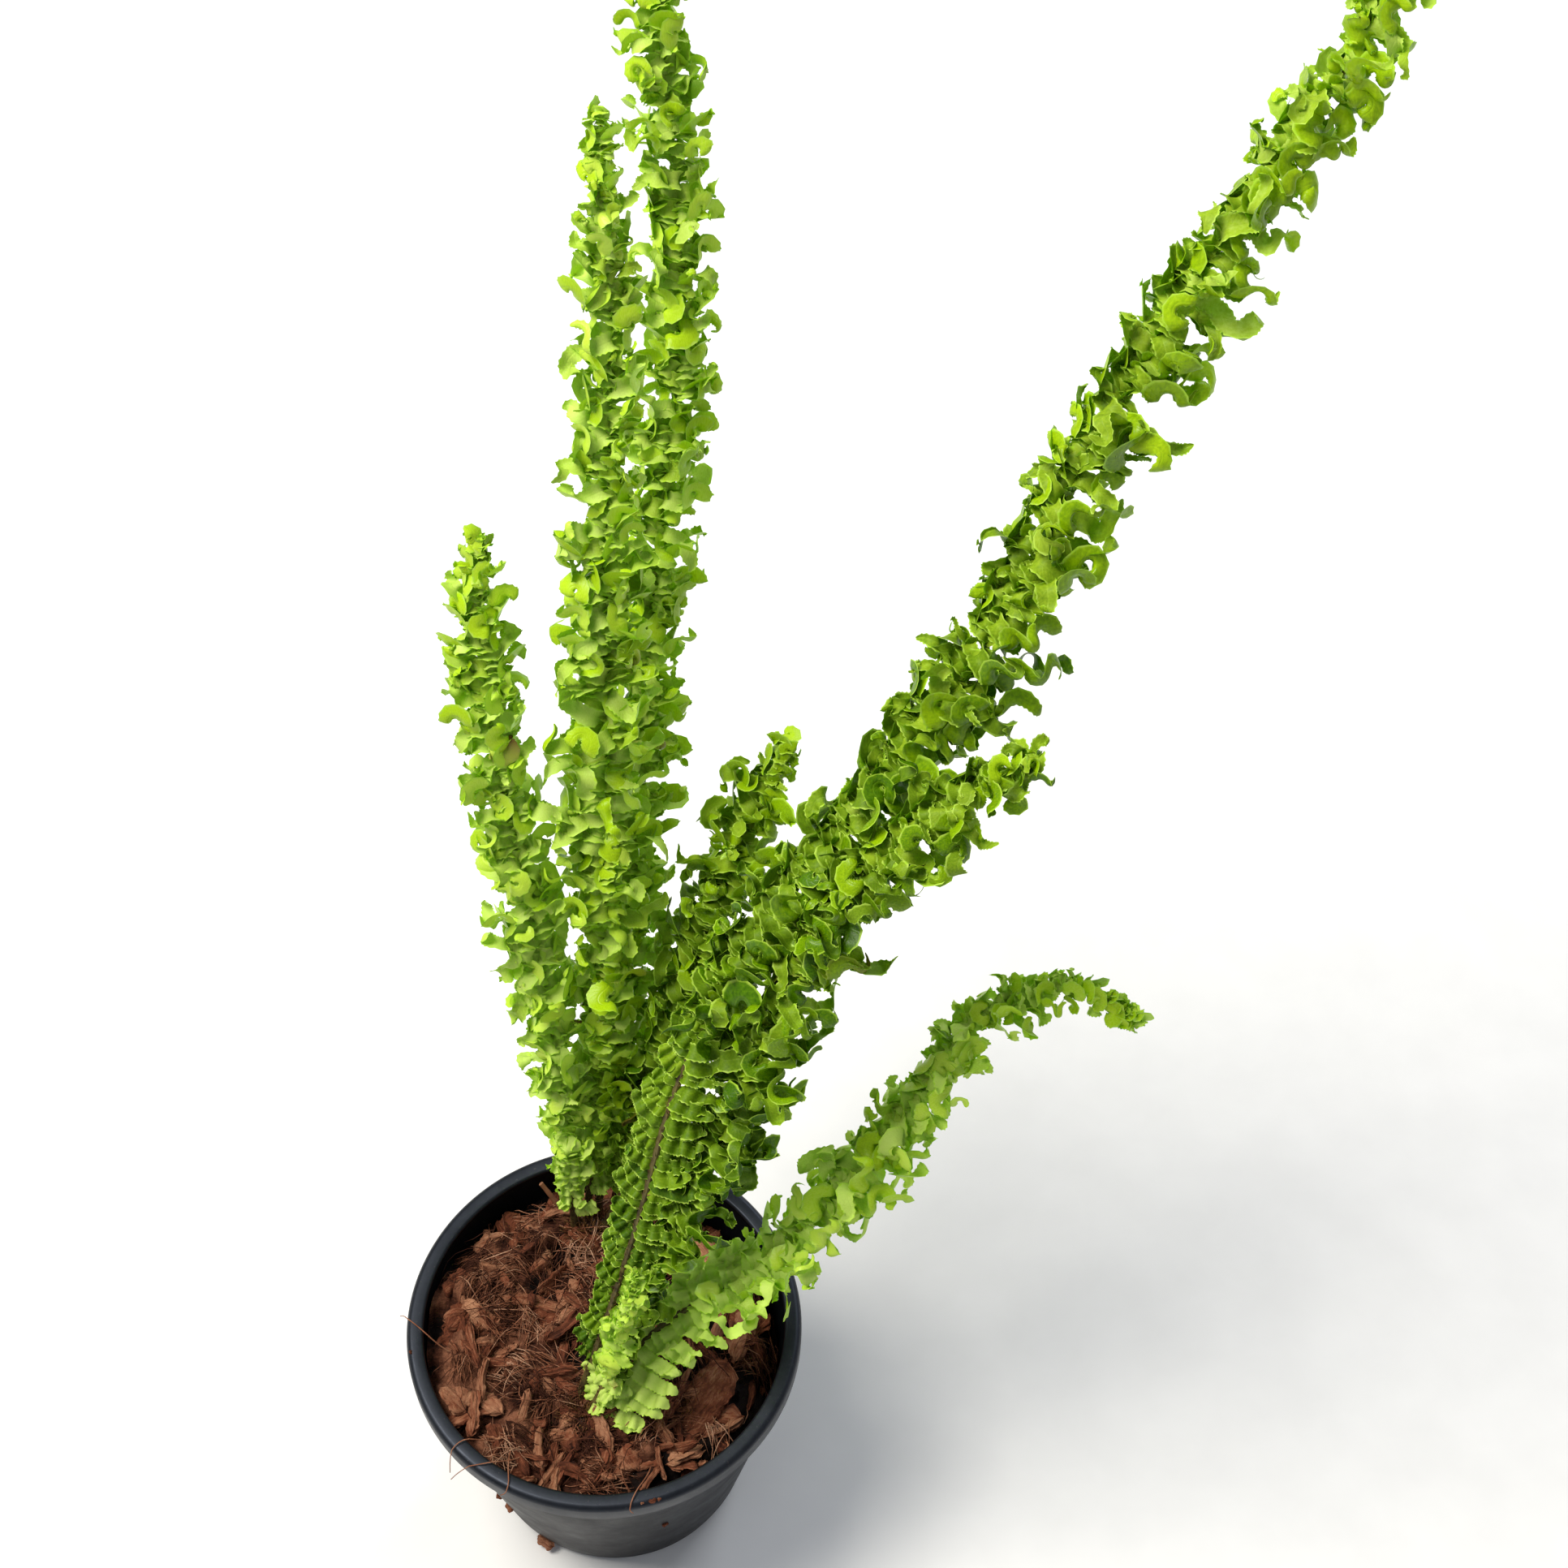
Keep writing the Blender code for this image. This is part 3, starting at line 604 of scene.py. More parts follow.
def heap_small_chips():
    """Many smaller chips scattered over the bed, half sunk in it, as one piece."""
    rng = np.random.default_rng(7)
    chips = []
    for _ in range(SMALL_CHIPS):
        length = rng.uniform(5, 20) * MM
        points, readings = chip_shape(length, rng.uniform(2.5, 8) * MM, rng.uniform(1.6, 4.2) * MM, rng)
        radius, bearing = BED_RADIUS * math.sqrt(rng.uniform(0.01, 0.93)), rng.uniform(0, math.tau)
        radius = min(radius, BED_RADIUS - length * 0.45)
        x, y = radius * math.cos(bearing), radius * math.sin(bearing)
        turn = tilt(rng.uniform(0, math.tau), rng.normal(0, 0.3), rng.uniform(0, math.tau))
        level = bed_height(np.array([x]), np.array([y]))[0]
        inside = min(1.0, (wall_at(level) - WALL - CHIP_GAP) / BED_RADIUS)
        place = (x * inside, y * inside, level + rng.uniform(-0.5, 2.4) * MM)
        chips.append((points @ turn.T + place, readings))
    return chips_piece("small_husk_chips", chips)


heap_small_chips()
print(SMALL_CHIPS, "small chips")

# %% Coir fibres
FIBRES, TUFTS = 3800, 110
FIBRE_RINGS, FIBRE_SIDES = 7, 4
FIBRE_GAP = 0.8 * MM  # between the fibres and the wall


def round_tubes(paths, radii, sides):
    """Closed tubes round many paths at once: paths are (tubes, rings, 3) and radii (tubes, rings)."""
    along = unit(np.gradient(paths, axis=1))
    helper = np.where(np.abs(along[..., 2:]) > 0.9, (1.0, 0.0, 0.0), (0.0, 0.0, 1.0))
    first = unit(np.cross(along, helper))
    second = np.cross(along, first)
    angles = np.arange(sides) * math.tau / sides
    circle = first[:, :, None] * np.cos(angles)[:, None] + second[:, :, None] * np.sin(angles)[:, None]
    return paths[:, :, None] + circle * radii[:, :, None, None]


def tubes_piece(name, tubes, material, readings):
    """Many closed tubes as one piece: tubes are (tubes, rings, sides, 3)."""
    count, rings, sides = tubes.shape[:3]
    faces = repeated(tube_faces(rings, sides), count, rings * sides)
    return mesh_piece(name, tubes, faces, (material,), (), readings, sharp=180)


def scatter_fibres():
    """Torn tufts: the fibres of one tuft lie nearly side by side in a mound, and a few stray out of it."""
    rng = np.random.default_rng(12)
    tuft = rng.integers(0, TUFTS, FIBRES)
    bearing, radius = rng.uniform(0, math.tau, TUFTS), BED_RADIUS * np.sqrt(rng.uniform(0.01, 0.86, TUFTS))
    middle = np.stack([radius * np.cos(bearing), radius * np.sin(bearing)], -1)[tuft]
    grain, tone = rng.uniform(0, math.tau, TUFTS)[tuft], rng.uniform(-1.0, 0.8, TUFTS)[tuft]
    half_width = rng.uniform(1.5, 5.0, TUFTS)[tuft] * MM
    stray = rng.random(FIBRES) < 0.2
    length = np.where(stray, rng.uniform(10, 30, FIBRES), rng.uniform(5, 17, FIBRES)) * MM
    heading = grain + rng.normal(0, 1, FIBRES) * np.where(stray, 0.6, 0.16)
    aside = np.clip(rng.normal(0, 0.6, FIBRES), -1.4, 1.4)
    share = np.linspace(0, 1, FIBRE_RINGS)
    turn = heading[:, None] + np.outer(rng.normal(0, 1, FIBRES) * np.where(stray, 1.3, 0.35), share)
    step = (length / (FIBRE_RINGS - 1))[:, None]
    start = middle - 0.5 * length[:, None] * np.stack([np.cos(heading), np.sin(heading)], -1)
    start += (aside * half_width)[:, None] * np.stack([-np.sin(grain), np.cos(grain)], -1)
    start += rng.normal(0, 2.5 * MM, (FIBRES, 2))
    x = start[:, :1] + np.cumsum(np.cos(turn) * step, 1)
    y = start[:, 1:] + np.cumsum(np.sin(turn) * step, 1)
    inside = np.minimum(1.0, (BED_RADIUS - FIBRE_GAP) / np.maximum(np.hypot(x, y), 1e-6))
    x, y = x * inside, y * inside
    level = bed_height(x.ravel(), y.ravel()).reshape(x.shape)
    inside = np.minimum(1.0, (wall_at(level) - WALL - FIBRE_GAP) / np.maximum(np.hypot(x, y), 1e-6))
    x, y = x * inside, y * inside
    mound = (half_width * 0.8 * np.exp(-aside ** 2) * rng.uniform(0.3, 1.0, FIBRES))[:, None]
    arch = np.where(stray, rng.gamma(2.0, 1.6, FIBRES).clip(0, 9), 0.3)[:, None] * MM
    z = level + 0.3 * MM + (mound + arch) * np.sin(np.pi * share) ** 0.7
    radii = rng.uniform(0.10, 0.26, (FIBRES, 1)) * MM * (1 - 0.6 * share ** 2)
    points = round_tubes(np.stack([x, y, z], -1), radii, FIBRE_SIDES)
    tones = np.broadcast_to((tone + rng.normal(0, 0.35, FIBRES))[:, None, None], points.shape[:3])
    travelled = np.broadcast_to((length[:, None] * share / MM)[..., None], points.shape[:3])
    readings = {"grain_along_mm": travelled, "grain_across_mm": tones, "husk_tone": tones}
    return tubes_piece("coir_fibres", points, fibre_husk, readings)


scatter_fibres()
print(FIBRES, "fibres in", TUFTS, "tufts")

# %% Fibres over the rim and crumbs stuck to the pot
# bearing in degrees, how far the fibre hangs outside the rim and below it in mm
RIM_FIBRES = [(229, 5.0, 6.0), (234, 7.0, 4.0), (238, 2.0, 1.5), (184, 3.0, 1.0), (285, 1.5, 1.0)]
# bearing in degrees, height and size in mm of crumbs on the outside of the wall or on the rim's top
CRUMBS = [(239, 5, 7.0), (226, 31, 4.0), (224, 27, 2.6), (221, 35, 3.0), (291, 60, 2.4), (286, 115, 2.6),
          (288, 115, 1.6), (283, 115, 1.2), (190, 115, 1.6)]


def hang_rim_fibres():
    """Single fibres that reach from the bed over the rim."""
    share = np.linspace(0, 1, 13)
    stations = [0, 0.45, 0.75, 1]  # in the bed, on the rim's inner edge, on its outer edge, hanging
    paths = []
    for bearing, outside, below in RIM_FIBRES:
        angle = math.radians(bearing) + 0.10 * np.sin(share * 3.0 + bearing)
        radii = [BED_RADIUS - 12 * MM, RIM_RADIUS - FLANGE, RIM_RADIUS, RIM_RADIUS + outside * MM]
        heights = [FILL_LEVEL + 4 * MM, POT_HEIGHT + 1.2 * MM, POT_HEIGHT + 0.6 * MM, POT_HEIGHT - below * MM]
        radius = np.interp(share, stations, radii)
        height = np.interp(share, stations, heights)
        paths.append(np.stack([radius * np.cos(angle), radius * np.sin(angle), height], -1))
    thickness = np.full((len(paths), len(share)), 0.32 * MM) * (1 - 0.5 * share)
    points = round_tubes(np.array(paths), thickness, 6)
    tone = np.full(points.shape[:3], 0.5)
    readings = {"grain_along_mm": tone, "grain_across_mm": tone, "husk_tone": tone}
    return tubes_piece("rim_fibres", points, fibre_husk, readings)


def stick_crumbs():
    """Crumbs of husk that watering left on the pot."""
    rng = np.random.default_rng(3)
    chips = []
    for bearing, height, size in CRUMBS:
        points, readings = chip_shape(size * MM, size * 0.7 * MM, size * 0.5 * MM, rng)
        cosine, sine = math.cos(math.radians(bearing)), math.sin(math.radians(bearing))
        on_rim = height * MM >= POT_HEIGHT
        radius = RIM_RADIUS - FLANGE / 2 if on_rim else wall_at(height * MM) + 0.12 * size * MM
        across = np.array([-sine, cosine, 0.0])
        outward = np.array([0.0, 0.0, 1.0]) if on_rim else np.array([cosine, sine, 0.0])
        turn = np.stack([across, np.cross(outward, across), outward])
        place = np.array([radius * cosine, radius * sine, height * MM + 0.3 * MM * on_rim])
        chips.append((points @ turn + place, readings))
    return chips_piece("stuck_crumbs", chips)


hang_rim_fibres()
stick_crumbs()
print(len(RIM_FIBRES), "fibres over the rim,", len(CRUMBS), "crumbs on the pot")

# %% [markdown]
# ## Centrelines of the fronds
# In the frame each stem is a tube of rings with six corners. The fine stem and its leaflets follow the
# same line, so the ring centres are read back from the frame, walked from foot to tip, and joined by a
# smooth curve. Each point of that curve carries three directions: along the stem, level to its right,
# and up, which is the side that a leaflet's upper face looks to.

# %% Read the centrelines
STEM_CORNERS = 6
LINE_STEP = 1.0 * MM


def ring_centres(node):
    """The centres of a stem's rings, walked from its foot."""
    corners = np.unique(np.round([v.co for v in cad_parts[node].data.vertices], 6), axis=0)
    centre, centres = corners[corners[:, 2].argmin()], []
    while len(corners) >= STEM_CORNERS:
        nearest = np.argsort(np.linalg.norm(corners - centre, axis=1))[:STEM_CORNERS]
        centre = corners[nearest].mean(0)
        centres.append(centre)
        corners = np.delete(corners, nearest, axis=0)
    return np.array(centres)


def smooth_line(centres):
    """A Catmull-Rom curve through the centres, as points LINE_STEP apart."""
    ends = np.vstack([2 * centres[0] - centres[1], centres, 2 * centres[-1] - centres[-2]])
    share = np.linspace(0, 1, 24, endpoint=False)[:, None]
    pieces = []
    for a, b, c, d in zip(ends, ends[1:], ends[2:], ends[3:]):
        pieces.append(0.5 * (2 * b + (c - a) * share + (2 * a - 5 * b + 4 * c - d) * share ** 2
                             + (3 * b - a - 3 * c + d) * share ** 3))
    curve = np.vstack(pieces + [centres[-1:]])
    lengths = np.concatenate([[0], np.cumsum(np.linalg.norm(np.diff(curve, axis=0), axis=1))])
    even = np.arange(0, lengths[-1], LINE_STEP)
    return np.stack([np.interp(even, lengths, curve[:, k]) for k in range(3)], 1), even


def frond_line(node):
    """A stem's points, lengths from its foot, and its along, right and up directions."""
    points, lengths = smooth_line(ring_centres(node))
    along = unit(np.gradient(points, axis=0))
    right = np.cross(along, (0.0, 0.0, 1.0))
    right = unit(right)
    return {"points": points, "lengths": lengths, "along": along, "right": right,
            "up": unit(np.cross(right, along))}


FROND_NAMES = sorted(n[:-len("_frond_stem")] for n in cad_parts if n.endswith("_frond_stem"))
lines = {name: frond_line(name + "_frond_stem") for name in FROND_NAMES}
for name in FROND_NAMES:
    print(f"{name:14} {lines[name]['lengths'][-1] / MM:6.0f} mm long")


def on_line(line, lengths, key):
    """One of a line's rows of values at given lengths from the foot."""
    return np.stack([np.interp(lengths, line["lengths"], line[key][:, k]) for k in range(3)], -1)


# %% [markdown]
# ## Stems, crowns and the dry stipe
# A sword fern's stem is wiry and olive brown, with a shallow groove along its upper side and papery
# scales that thin out upwards. At the foot all stems spring from a crown, a knot of old leaf bases
# wrapped in the same scales. The stem is a tube with a grooved section, and scales are flat closed
# spindles set round it by the hundred.

# %% Stem and scale materials
def stem_bark(name, dark, light):
    """Wiry stem skin: mottled and lightly bumped, a dull wax over olive brown."""
    material, tree, output = new_material(name)
    place = add_node(tree, "ShaderNodeTexCoord").outputs["Object"]
    mottle = add_node(tree, "ShaderNodeTexNoise", {"Scale": 1 / (3 * MM), "Detail": 5}, {"Vector": place})
    share = calc(tree, "MULTIPLY_ADD", mottle.outputs["Fac"], 0.6,
                 calc(tree, "MULTIPLY", reading(tree, "stem_share"), 0.5))
    colour = add_node(tree, "ShaderNodeValToRGB", {"stops": [(0.25, dark), (0.7, light)]}, {"Fac": share})
    bump = add_node(tree, "ShaderNodeBump", {"Strength": 0.6, "Distance": 0.2 * MM},
                    {"Height": mottle.outputs["Fac"]})
    skin = add_node(tree, "ShaderNodeBsdfPrincipled", {"Roughness": 0.55, "Specular IOR Level": 0.4},
                    {"Base Color": colour.outputs["Color"], "Normal": bump.outputs["Normal"]})
    tree.links.new(skin.outputs["BSDF"], output.inputs["Surface"])
    return material


frond_stem_skin = stem_bark("fern_stem_skin", "#3b2f17", "#857a3e")
dry_stem_skin = stem_bark("dry_stipe_skin", "#3a2216", "#7d5236")
papery_scale = stem_bark("papery_fern_scale", "#4a2f1a", "#a5794a")
print("stem skins:", frond_stem_skin.name, dry_stem_skin.name, papery_scale.name)


# %% Grooved tubes
STEM_SIDES = 12
FOOT_RADIUS, TIP_RADIUS = 1.55 * MM, 0.55 * MM
SWELLING_PITCH = 2.7 * MM  # about the distance between leaflets


def grow_stem(name, node, line, foot_radius, tip_radius, skin):
    """A stem along a line, with a groove on its upper side and a slight swelling at each leaflet."""
    share = line["lengths"] / line["lengths"][-1]
    angles = np.arange(STEM_SIDES) * math.tau / STEM_SIDES
    groove = 1 - 0.30 * np.exp(-((angles - math.pi / 2) / 0.42) ** 2)
    radius = foot_radius + (tip_radius - foot_radius) * share ** 0.8
    radius = radius * (1 + 0.05 * np.sin(line["lengths"] / SWELLING_PITCH * math.tau / 2))
    circle = line["right"][:, None] * np.cos(angles)[:, None] + line["up"][:, None] * np.sin(angles)[:, None]
    points = line["points"][:, None] + circle * (radius[:, None] * groove)[..., None]
    faces = tube_faces(len(share), STEM_SIDES)[:, ::-1]
    readings = {"stem_share": np.repeat(share, STEM_SIDES)}
    return mesh_piece(name, points, faces, (skin,), (node,), readings)


def spindle_scales(roots, directions, lengths, half_width, rng):
    """Flat closed spindles, one for each root, pointing in their directions with a slight curl."""
    share = np.array([0.0, 0.2, 0.55, 0.85, 1.0])
    curl = unit(rng.normal(0, 1, directions.shape))
    paths = roots[:, None] + directions[:, None] * (lengths[:, None, None] * share[:, None]) \
        + curl[:, None] * (lengths[:, None, None] * 0.18 * share[:, None] ** 2)
    radii = half_width[:, None] * np.array([0.5, 1.0, 0.8, 0.4, 0.05])
    return round_tubes(paths, radii, 4)


def scatter_stem_scales(name, line, per_mm):
    """Papery scales round a stem, dense at its foot and sparse above."""
    rng = np.random.default_rng(len(name) + int(line["lengths"][-1] / MM))
    count = int(line["lengths"][-1] / MM * per_mm)
    at = line["lengths"][-1] * rng.uniform(0, 1, count) ** 1.9
    points, along, right, up = (on_line(line, at, key) for key in ("points", "along", "right", "up"))
    angle = rng.uniform(0, math.tau, count)[:, None]
    outward = unit(right * np.cos(angle) + up * np.sin(angle))
    radius = FOOT_RADIUS + (TIP_RADIUS - FOOT_RADIUS) * (at / line["lengths"][-1]) ** 0.8
    directions = unit(outward * rng.uniform(0.25, 0.9, (count, 1)) + along)
    shapes = spindle_scales(points + outward * radius[:, None] * 0.85, directions,
                            rng.uniform(1.2, 3.0, count) * MM, rng.uniform(0.09, 0.2, count) * MM, rng)
    readings = {"stem_share": np.repeat(rng.uniform(-0.3, 1.0, count), shapes.shape[1] * shapes.shape[2])}
    return tubes_piece(name, shapes, papery_scale, readings)


for name in FROND_NAMES:
    grow_stem(name + "_stem", name + "_frond_stem", lines[name], FOOT_RADIUS, TIP_RADIUS, frond_stem_skin)
    scatter_stem_scales(name + "_stem_scales", lines[name], 1.6)
dry_line = frond_line("dry_stipe")
broken_off = dry_line["points"][:, 2] < POT_HEIGHT + 4 * MM
dry_line = {key: values[broken_off] for key, values in dry_line.items()}
grow_stem("dry_old_stipe", "dry_stipe", dry_line, 1.3 * MM, 0.9 * MM, dry_stem_skin)
print(len(FROND_NAMES), "stems and a dry stipe")


# %% Crowns
CROWN_SCALES = 420  # on each crown


def crown_knot(node, seed):
    """A crown: a lumpy knot wrapped in papery scales that point up and outwards."""
    low, high = (np.array(corner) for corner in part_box(node))
    middle, half = (low + high) / 2, (high - low) / 2
    rng = np.random.default_rng(seed)
    rings, sides = 24, 36
    polar = np.linspace(0.03, math.pi - 0.03, rings)[:, None]
    angles = np.arange(sides) * math.tau / sides
    ball = np.stack([np.sin(polar) * np.cos(angles), np.sin(polar) * np.sin(angles),
                     np.repeat(np.cos(polar), sides, 1)], -1).reshape(-1, 3)
    knot = middle + ball * half * (0.94 + 0.10 * rough(ball, 0.5, 3, seed))[:, None]
    mesh_piece(node + "_knot", knot, tube_faces(rings, sides), (dry_stem_skin,), (node,),
               {"stem_share": rng.uniform(0, 0.4, len(knot))}, sharp=180)
    count = CROWN_SCALES
    outward = unit(rng.normal(0, 1, (count, 3)) + (0, 0, 0.9))
    outward[:, 2] = np.abs(outward[:, 2])
    roots = middle + outward * half * 0.92
    shapes = spindle_scales(roots, unit(outward + (0, 0, 0.7)), rng.uniform(2.5, 6.5, count) * MM,
                            rng.uniform(0.16, 0.4, count) * MM, rng)
    readings = {"stem_share": np.repeat(rng.uniform(-0.2, 0.9, count), shapes.shape[1] * shapes.shape[2])}
    tubes_piece(node + "_scales", shapes, papery_scale, readings)


crown_knot("front_crown", 5)
crown_knot("back_crown", 6)
print("two crowns with", CROWN_SCALES, "scales each")

# %% [markdown]
# ## Leaf tissue
# A fern leaflet is thin, slightly waxy tissue. Light from the sky glances off the wax, and light from
# behind shines through in a warmer, yellower green, which is what makes the rows glow. So the material
# mixes a glossy coat with a translucent body. Side veins about a millimetre apart fork from the midrib,
# the tissue bulges a little between them, and the margin is a thin pale line: partly its own paler
# tissue, partly a painted highlight for the light that the thin edge catches. The underside is paler and
# duller, so it is a second material.

# %% Leaf tissue material
VEIN_SPACING = 1.25  # mm, between the side veins
VEIN_SLANT = 0.9  # how far a vein leans towards the leaflet's tip for each mm that it goes out
MIDRIB_HALF = 0.45  # mm, half the midrib's width
MARGIN_FROM = 0.88  # share of the half width where the pale margin starts


def leaf_tissue(name, tones, margin, glow, roughness, gloss):
    """Waxy leaf tissue. Tones run from the darkest leaflets to the brightest: the oldest are darkest, and
    painted light and shade shift each frond's tone.
    """
    material, tree, output = new_material(name)
    along, across = reading(tree, "leaf_along_mm"), reading(tree, "leaf_across_mm")
    spread = calc(tree, "ABSOLUTE", across)
    mottle = add_node(tree, "ShaderNodeTexNoise", {"Scale": 1 / (4 * MM), "Detail": 4, "Roughness": 0.6})
    # The tone carries the leaflets' age together with painted light and shade: each frond's tone is
    # brightened or darkened to match how lit that part of the plant looks.
    age_and_painted_light = calc(tree, "ADD", reading(tree, "leaf_tone"),
               calc(tree, "MULTIPLY", calc(tree, "SUBTRACT", mottle.outputs["Fac"], 0.5), 0.55))
    body = add_node(tree, "ShaderNodeValToRGB", {"stops": tones}, {"Fac": age_and_painted_light}).outputs["Color"]
    slanted = calc(tree, "SUBTRACT", along, calc(tree, "MULTIPLY", spread, VEIN_SLANT))
    wave = calc(tree, "SINE", calc(tree, "MULTIPLY", slanted, 2 * math.pi / VEIN_SPACING))
    vein = calc(tree, "POWER", calc(tree, "MULTIPLY_ADD", wave, 0.5, 0.5), 5.0)
    from_midrib = calc(tree, "SMOOTH_MIN", calc(tree, "DIVIDE", spread, MIDRIB_HALF), 1.0, 0.3)
    midrib = calc(tree, "MAXIMUM", calc(tree, "SUBTRACT", 1.0, from_midrib), 0.0)
    lines_seen = calc(tree, "MAXIMUM", calc(tree, "MULTIPLY", vein, 0.35), midrib)
    body = blended(tree, calc(tree, "MULTIPLY", lines_seen, 0.10), body, margin)
    # The pale margin band: partly the margin's own paler tissue, partly a painted highlight that stands for
    # the light the thin edge catches.
    edge = calc(tree, "MULTIPLY", calc(tree, "SUBTRACT", reading(tree, "leaf_margin"), MARGIN_FROM),
                1 / (1 - MARGIN_FROM))
    edge = calc(tree, "MINIMUM", calc(tree, "MAXIMUM", calc(tree, "MULTIPLY", edge, 1.8), 0.0), 1.0)
    body = blended(tree, calc(tree, "MULTIPLY", edge, 0.8), body, margin)
    body = blended(tree, reading(tree, "leaf_dry"), body, "#7a5228")
    relief = calc(tree, "SUBTRACT", calc(tree, "MULTIPLY", mottle.outputs["Fac"], 0.3),
                  calc(tree, "MULTIPLY", lines_seen, 0.8))
    bump = add_node(tree, "ShaderNodeBump", {"Strength": 0.5, "Distance": 0.25 * MM}, {"Height": relief})
    coat = add_node(tree, "ShaderNodeBsdfPrincipled",
                    {"Roughness": roughness, "Specular IOR Level": gloss, "IOR": 1.42},
                    {"Base Color": body, "Normal": bump.outputs["Normal"]})
    through = add_node(tree, "ShaderNodeBsdfTranslucent", {},
                       {"Color": blended(tree, 0.85, body, blended(tree, 1.0, body, glow, "MULTIPLY"))})
    both = add_node(tree, "ShaderNodeMixShader", {0: 0.36},
                    {1: coat.outputs["BSDF"], 2: through.outputs["BSDF"]})
    tree.links.new(both.outputs["Shader"], output.inputs["Surface"])
    return material


UPPER_TONES = [(0.0, "#225000"), (0.25, "#5f9002"), (0.5, "#a0c806"), (0.75, "#cdee1c"), (1.0, "#e4fa62")]
UNDER_TONES = [(0.0, "#4f780c"), (0.35, "#86ac1a"), (0.6, "#b2d030"), (1.0, "#dcf07c")]
upper_tissue = leaf_tissue("fern_tissue_upper", UPPER_TONES, "#c9ee4a", "#e8ff10", 0.30, 0.4)
under_tissue = leaf_tissue("fern_tissue_under", UNDER_TONES, "#d8f468", "#f0ff38", 0.5, 0.3)
print("leaf tissue with veins", VEIN_SPACING, "mm apart")

# %% [markdown]
# ## One leaflet
# On the real plant a leaflet is a strap with a midrib and a toothed margin. Its margin grows faster than
# its midrib, so the strap can't stay flat: it ripples, curls towards the frond's tip and rolls into cups
# and rings. The same happens here. The strap's midrib is walked in small steps, and at each step its
# directions turn a little: in its own plane, out of it, and about itself. Cross-sections set on that line
# get a ripple towards the margins and every second point of the margin is pushed out as a tooth. A
# thickness like a lens closes it, so that every leaflet is a thin solid with a sharp edge.

# %% The strap's outline and its closed shell
ALONG = 41  # cross-sections of a leaflet
ACROSS = 7  # points of a cross-section
TOOTH = 0.45 * MM
TISSUE = 0.26 * MM  # thickness at the midrib
SHARES = np.linspace(0, 1, ALONG)
SPREAD = np.sin(np.linspace(-1, 1, ACROSS) * math.pi / 2)


def strap_outline(pointed):
    """The half width along a leaflet as a share of its fullest, rounded or drawn to a point."""
    base = 0.62 + 0.38 * eased(SHARES, 0.0, 0.10)
    rounded = np.sqrt(np.clip(1 - (np.clip(SHARES - 0.62, 0, 1) / 0.385) ** 2, 0.015, 1))
    drawn = 1.04 - eased(SHARES, 0.18, 1.12) * 0.98
    return base[None] * (rounded[None] * (1 - pointed[:, None]) + drawn[None] * pointed[:, None])


def shell_faces():
    """The faces of one leaflet: the upper grid, then the lower one, which share the margin's points."""
    grid = np.arange(ALONG * ACROSS).reshape(ALONG, ACROSS)
    lower = grid.copy()
    lower[1:-1, 1:-1] = ALONG * ACROSS + np.arange((ALONG - 2) * (ACROSS - 2)).reshape(ALONG - 2, ACROSS - 2)
    quads = []
    for layer, order in ((grid, (0, 1, 2, 3)), (lower, (3, 2, 1, 0))):
        corners = [layer[:-1, :-1], layer[1:, :-1], layer[1:, 1:], layer[:-1, 1:]]
        quads.append(np.stack([corners[k] for k in order], -1).reshape(-1, 4))
    return quads


UPPER_FACES, LOWER_FACES = shell_faces()
POINTS_EACH = ALONG * ACROSS + (ALONG - 2) * (ACROSS - 2)
print("one leaflet:", POINTS_EACH, "points,", len(UPPER_FACES) + len(LOWER_FACES), "faces")


# %% Walk the midribs and set the cross-sections
def walk_midribs(leaf, mirror):
    """Places along every midrib, the way its face looks there, and the way to the frond's tip."""
    out, face, centre = leaf["out"], leaf["face"], leaf["foot"]
    curl_from, curl_to = leaf["curl_from"][:, None], leaf["curl_to"][:, None]
    bend_in = eased(SHARES[None], curl_from, curl_from + 0.25)
    bend_in = bend_in * (1 - eased(SHARES[None], curl_to, curl_to + 0.1))
    bend_in = bend_in[:, :-1] / bend_in[:, :-1].sum(1, keepdims=True)
    bend_out = (SHARES[:-1] ** 1.3)
    bend_out = bend_out / bend_out.sum()
    phase = 2 * math.pi * np.outer(leaf["waves"], SHARES) + leaf["wave_phase"][:, None]
    slope = leaf["wave_slope"][:, None] * np.sin(phase) * eased(SHARES, 0.0, 0.15)
    step = leaf["length"] / (ALONG - 1)
    centres, faces, tipward = [], [], []
    for j in range(ALONG):
        centres.append(centre)
        faces.append(face)
        tipward.append(mirror * np.cross(face, out))
        if j == ALONG - 1:
            break
        out = turned(out, face, mirror * leaf["curl_in"] * bend_in[:, j])
        lift = leaf["curl_out"] * bend_out[j] + slope[:, j + 1] - slope[:, j]
        pivot = np.cross(out, face)
        out, face = turned(out, pivot, lift), turned(face, pivot, lift)
        face = turned(face, out, mirror * leaf["twist"] / (ALONG - 1))
        centre = centre + out * step[:, None]
    return [np.stack(values, 1) for values in (centres, faces, tipward)]


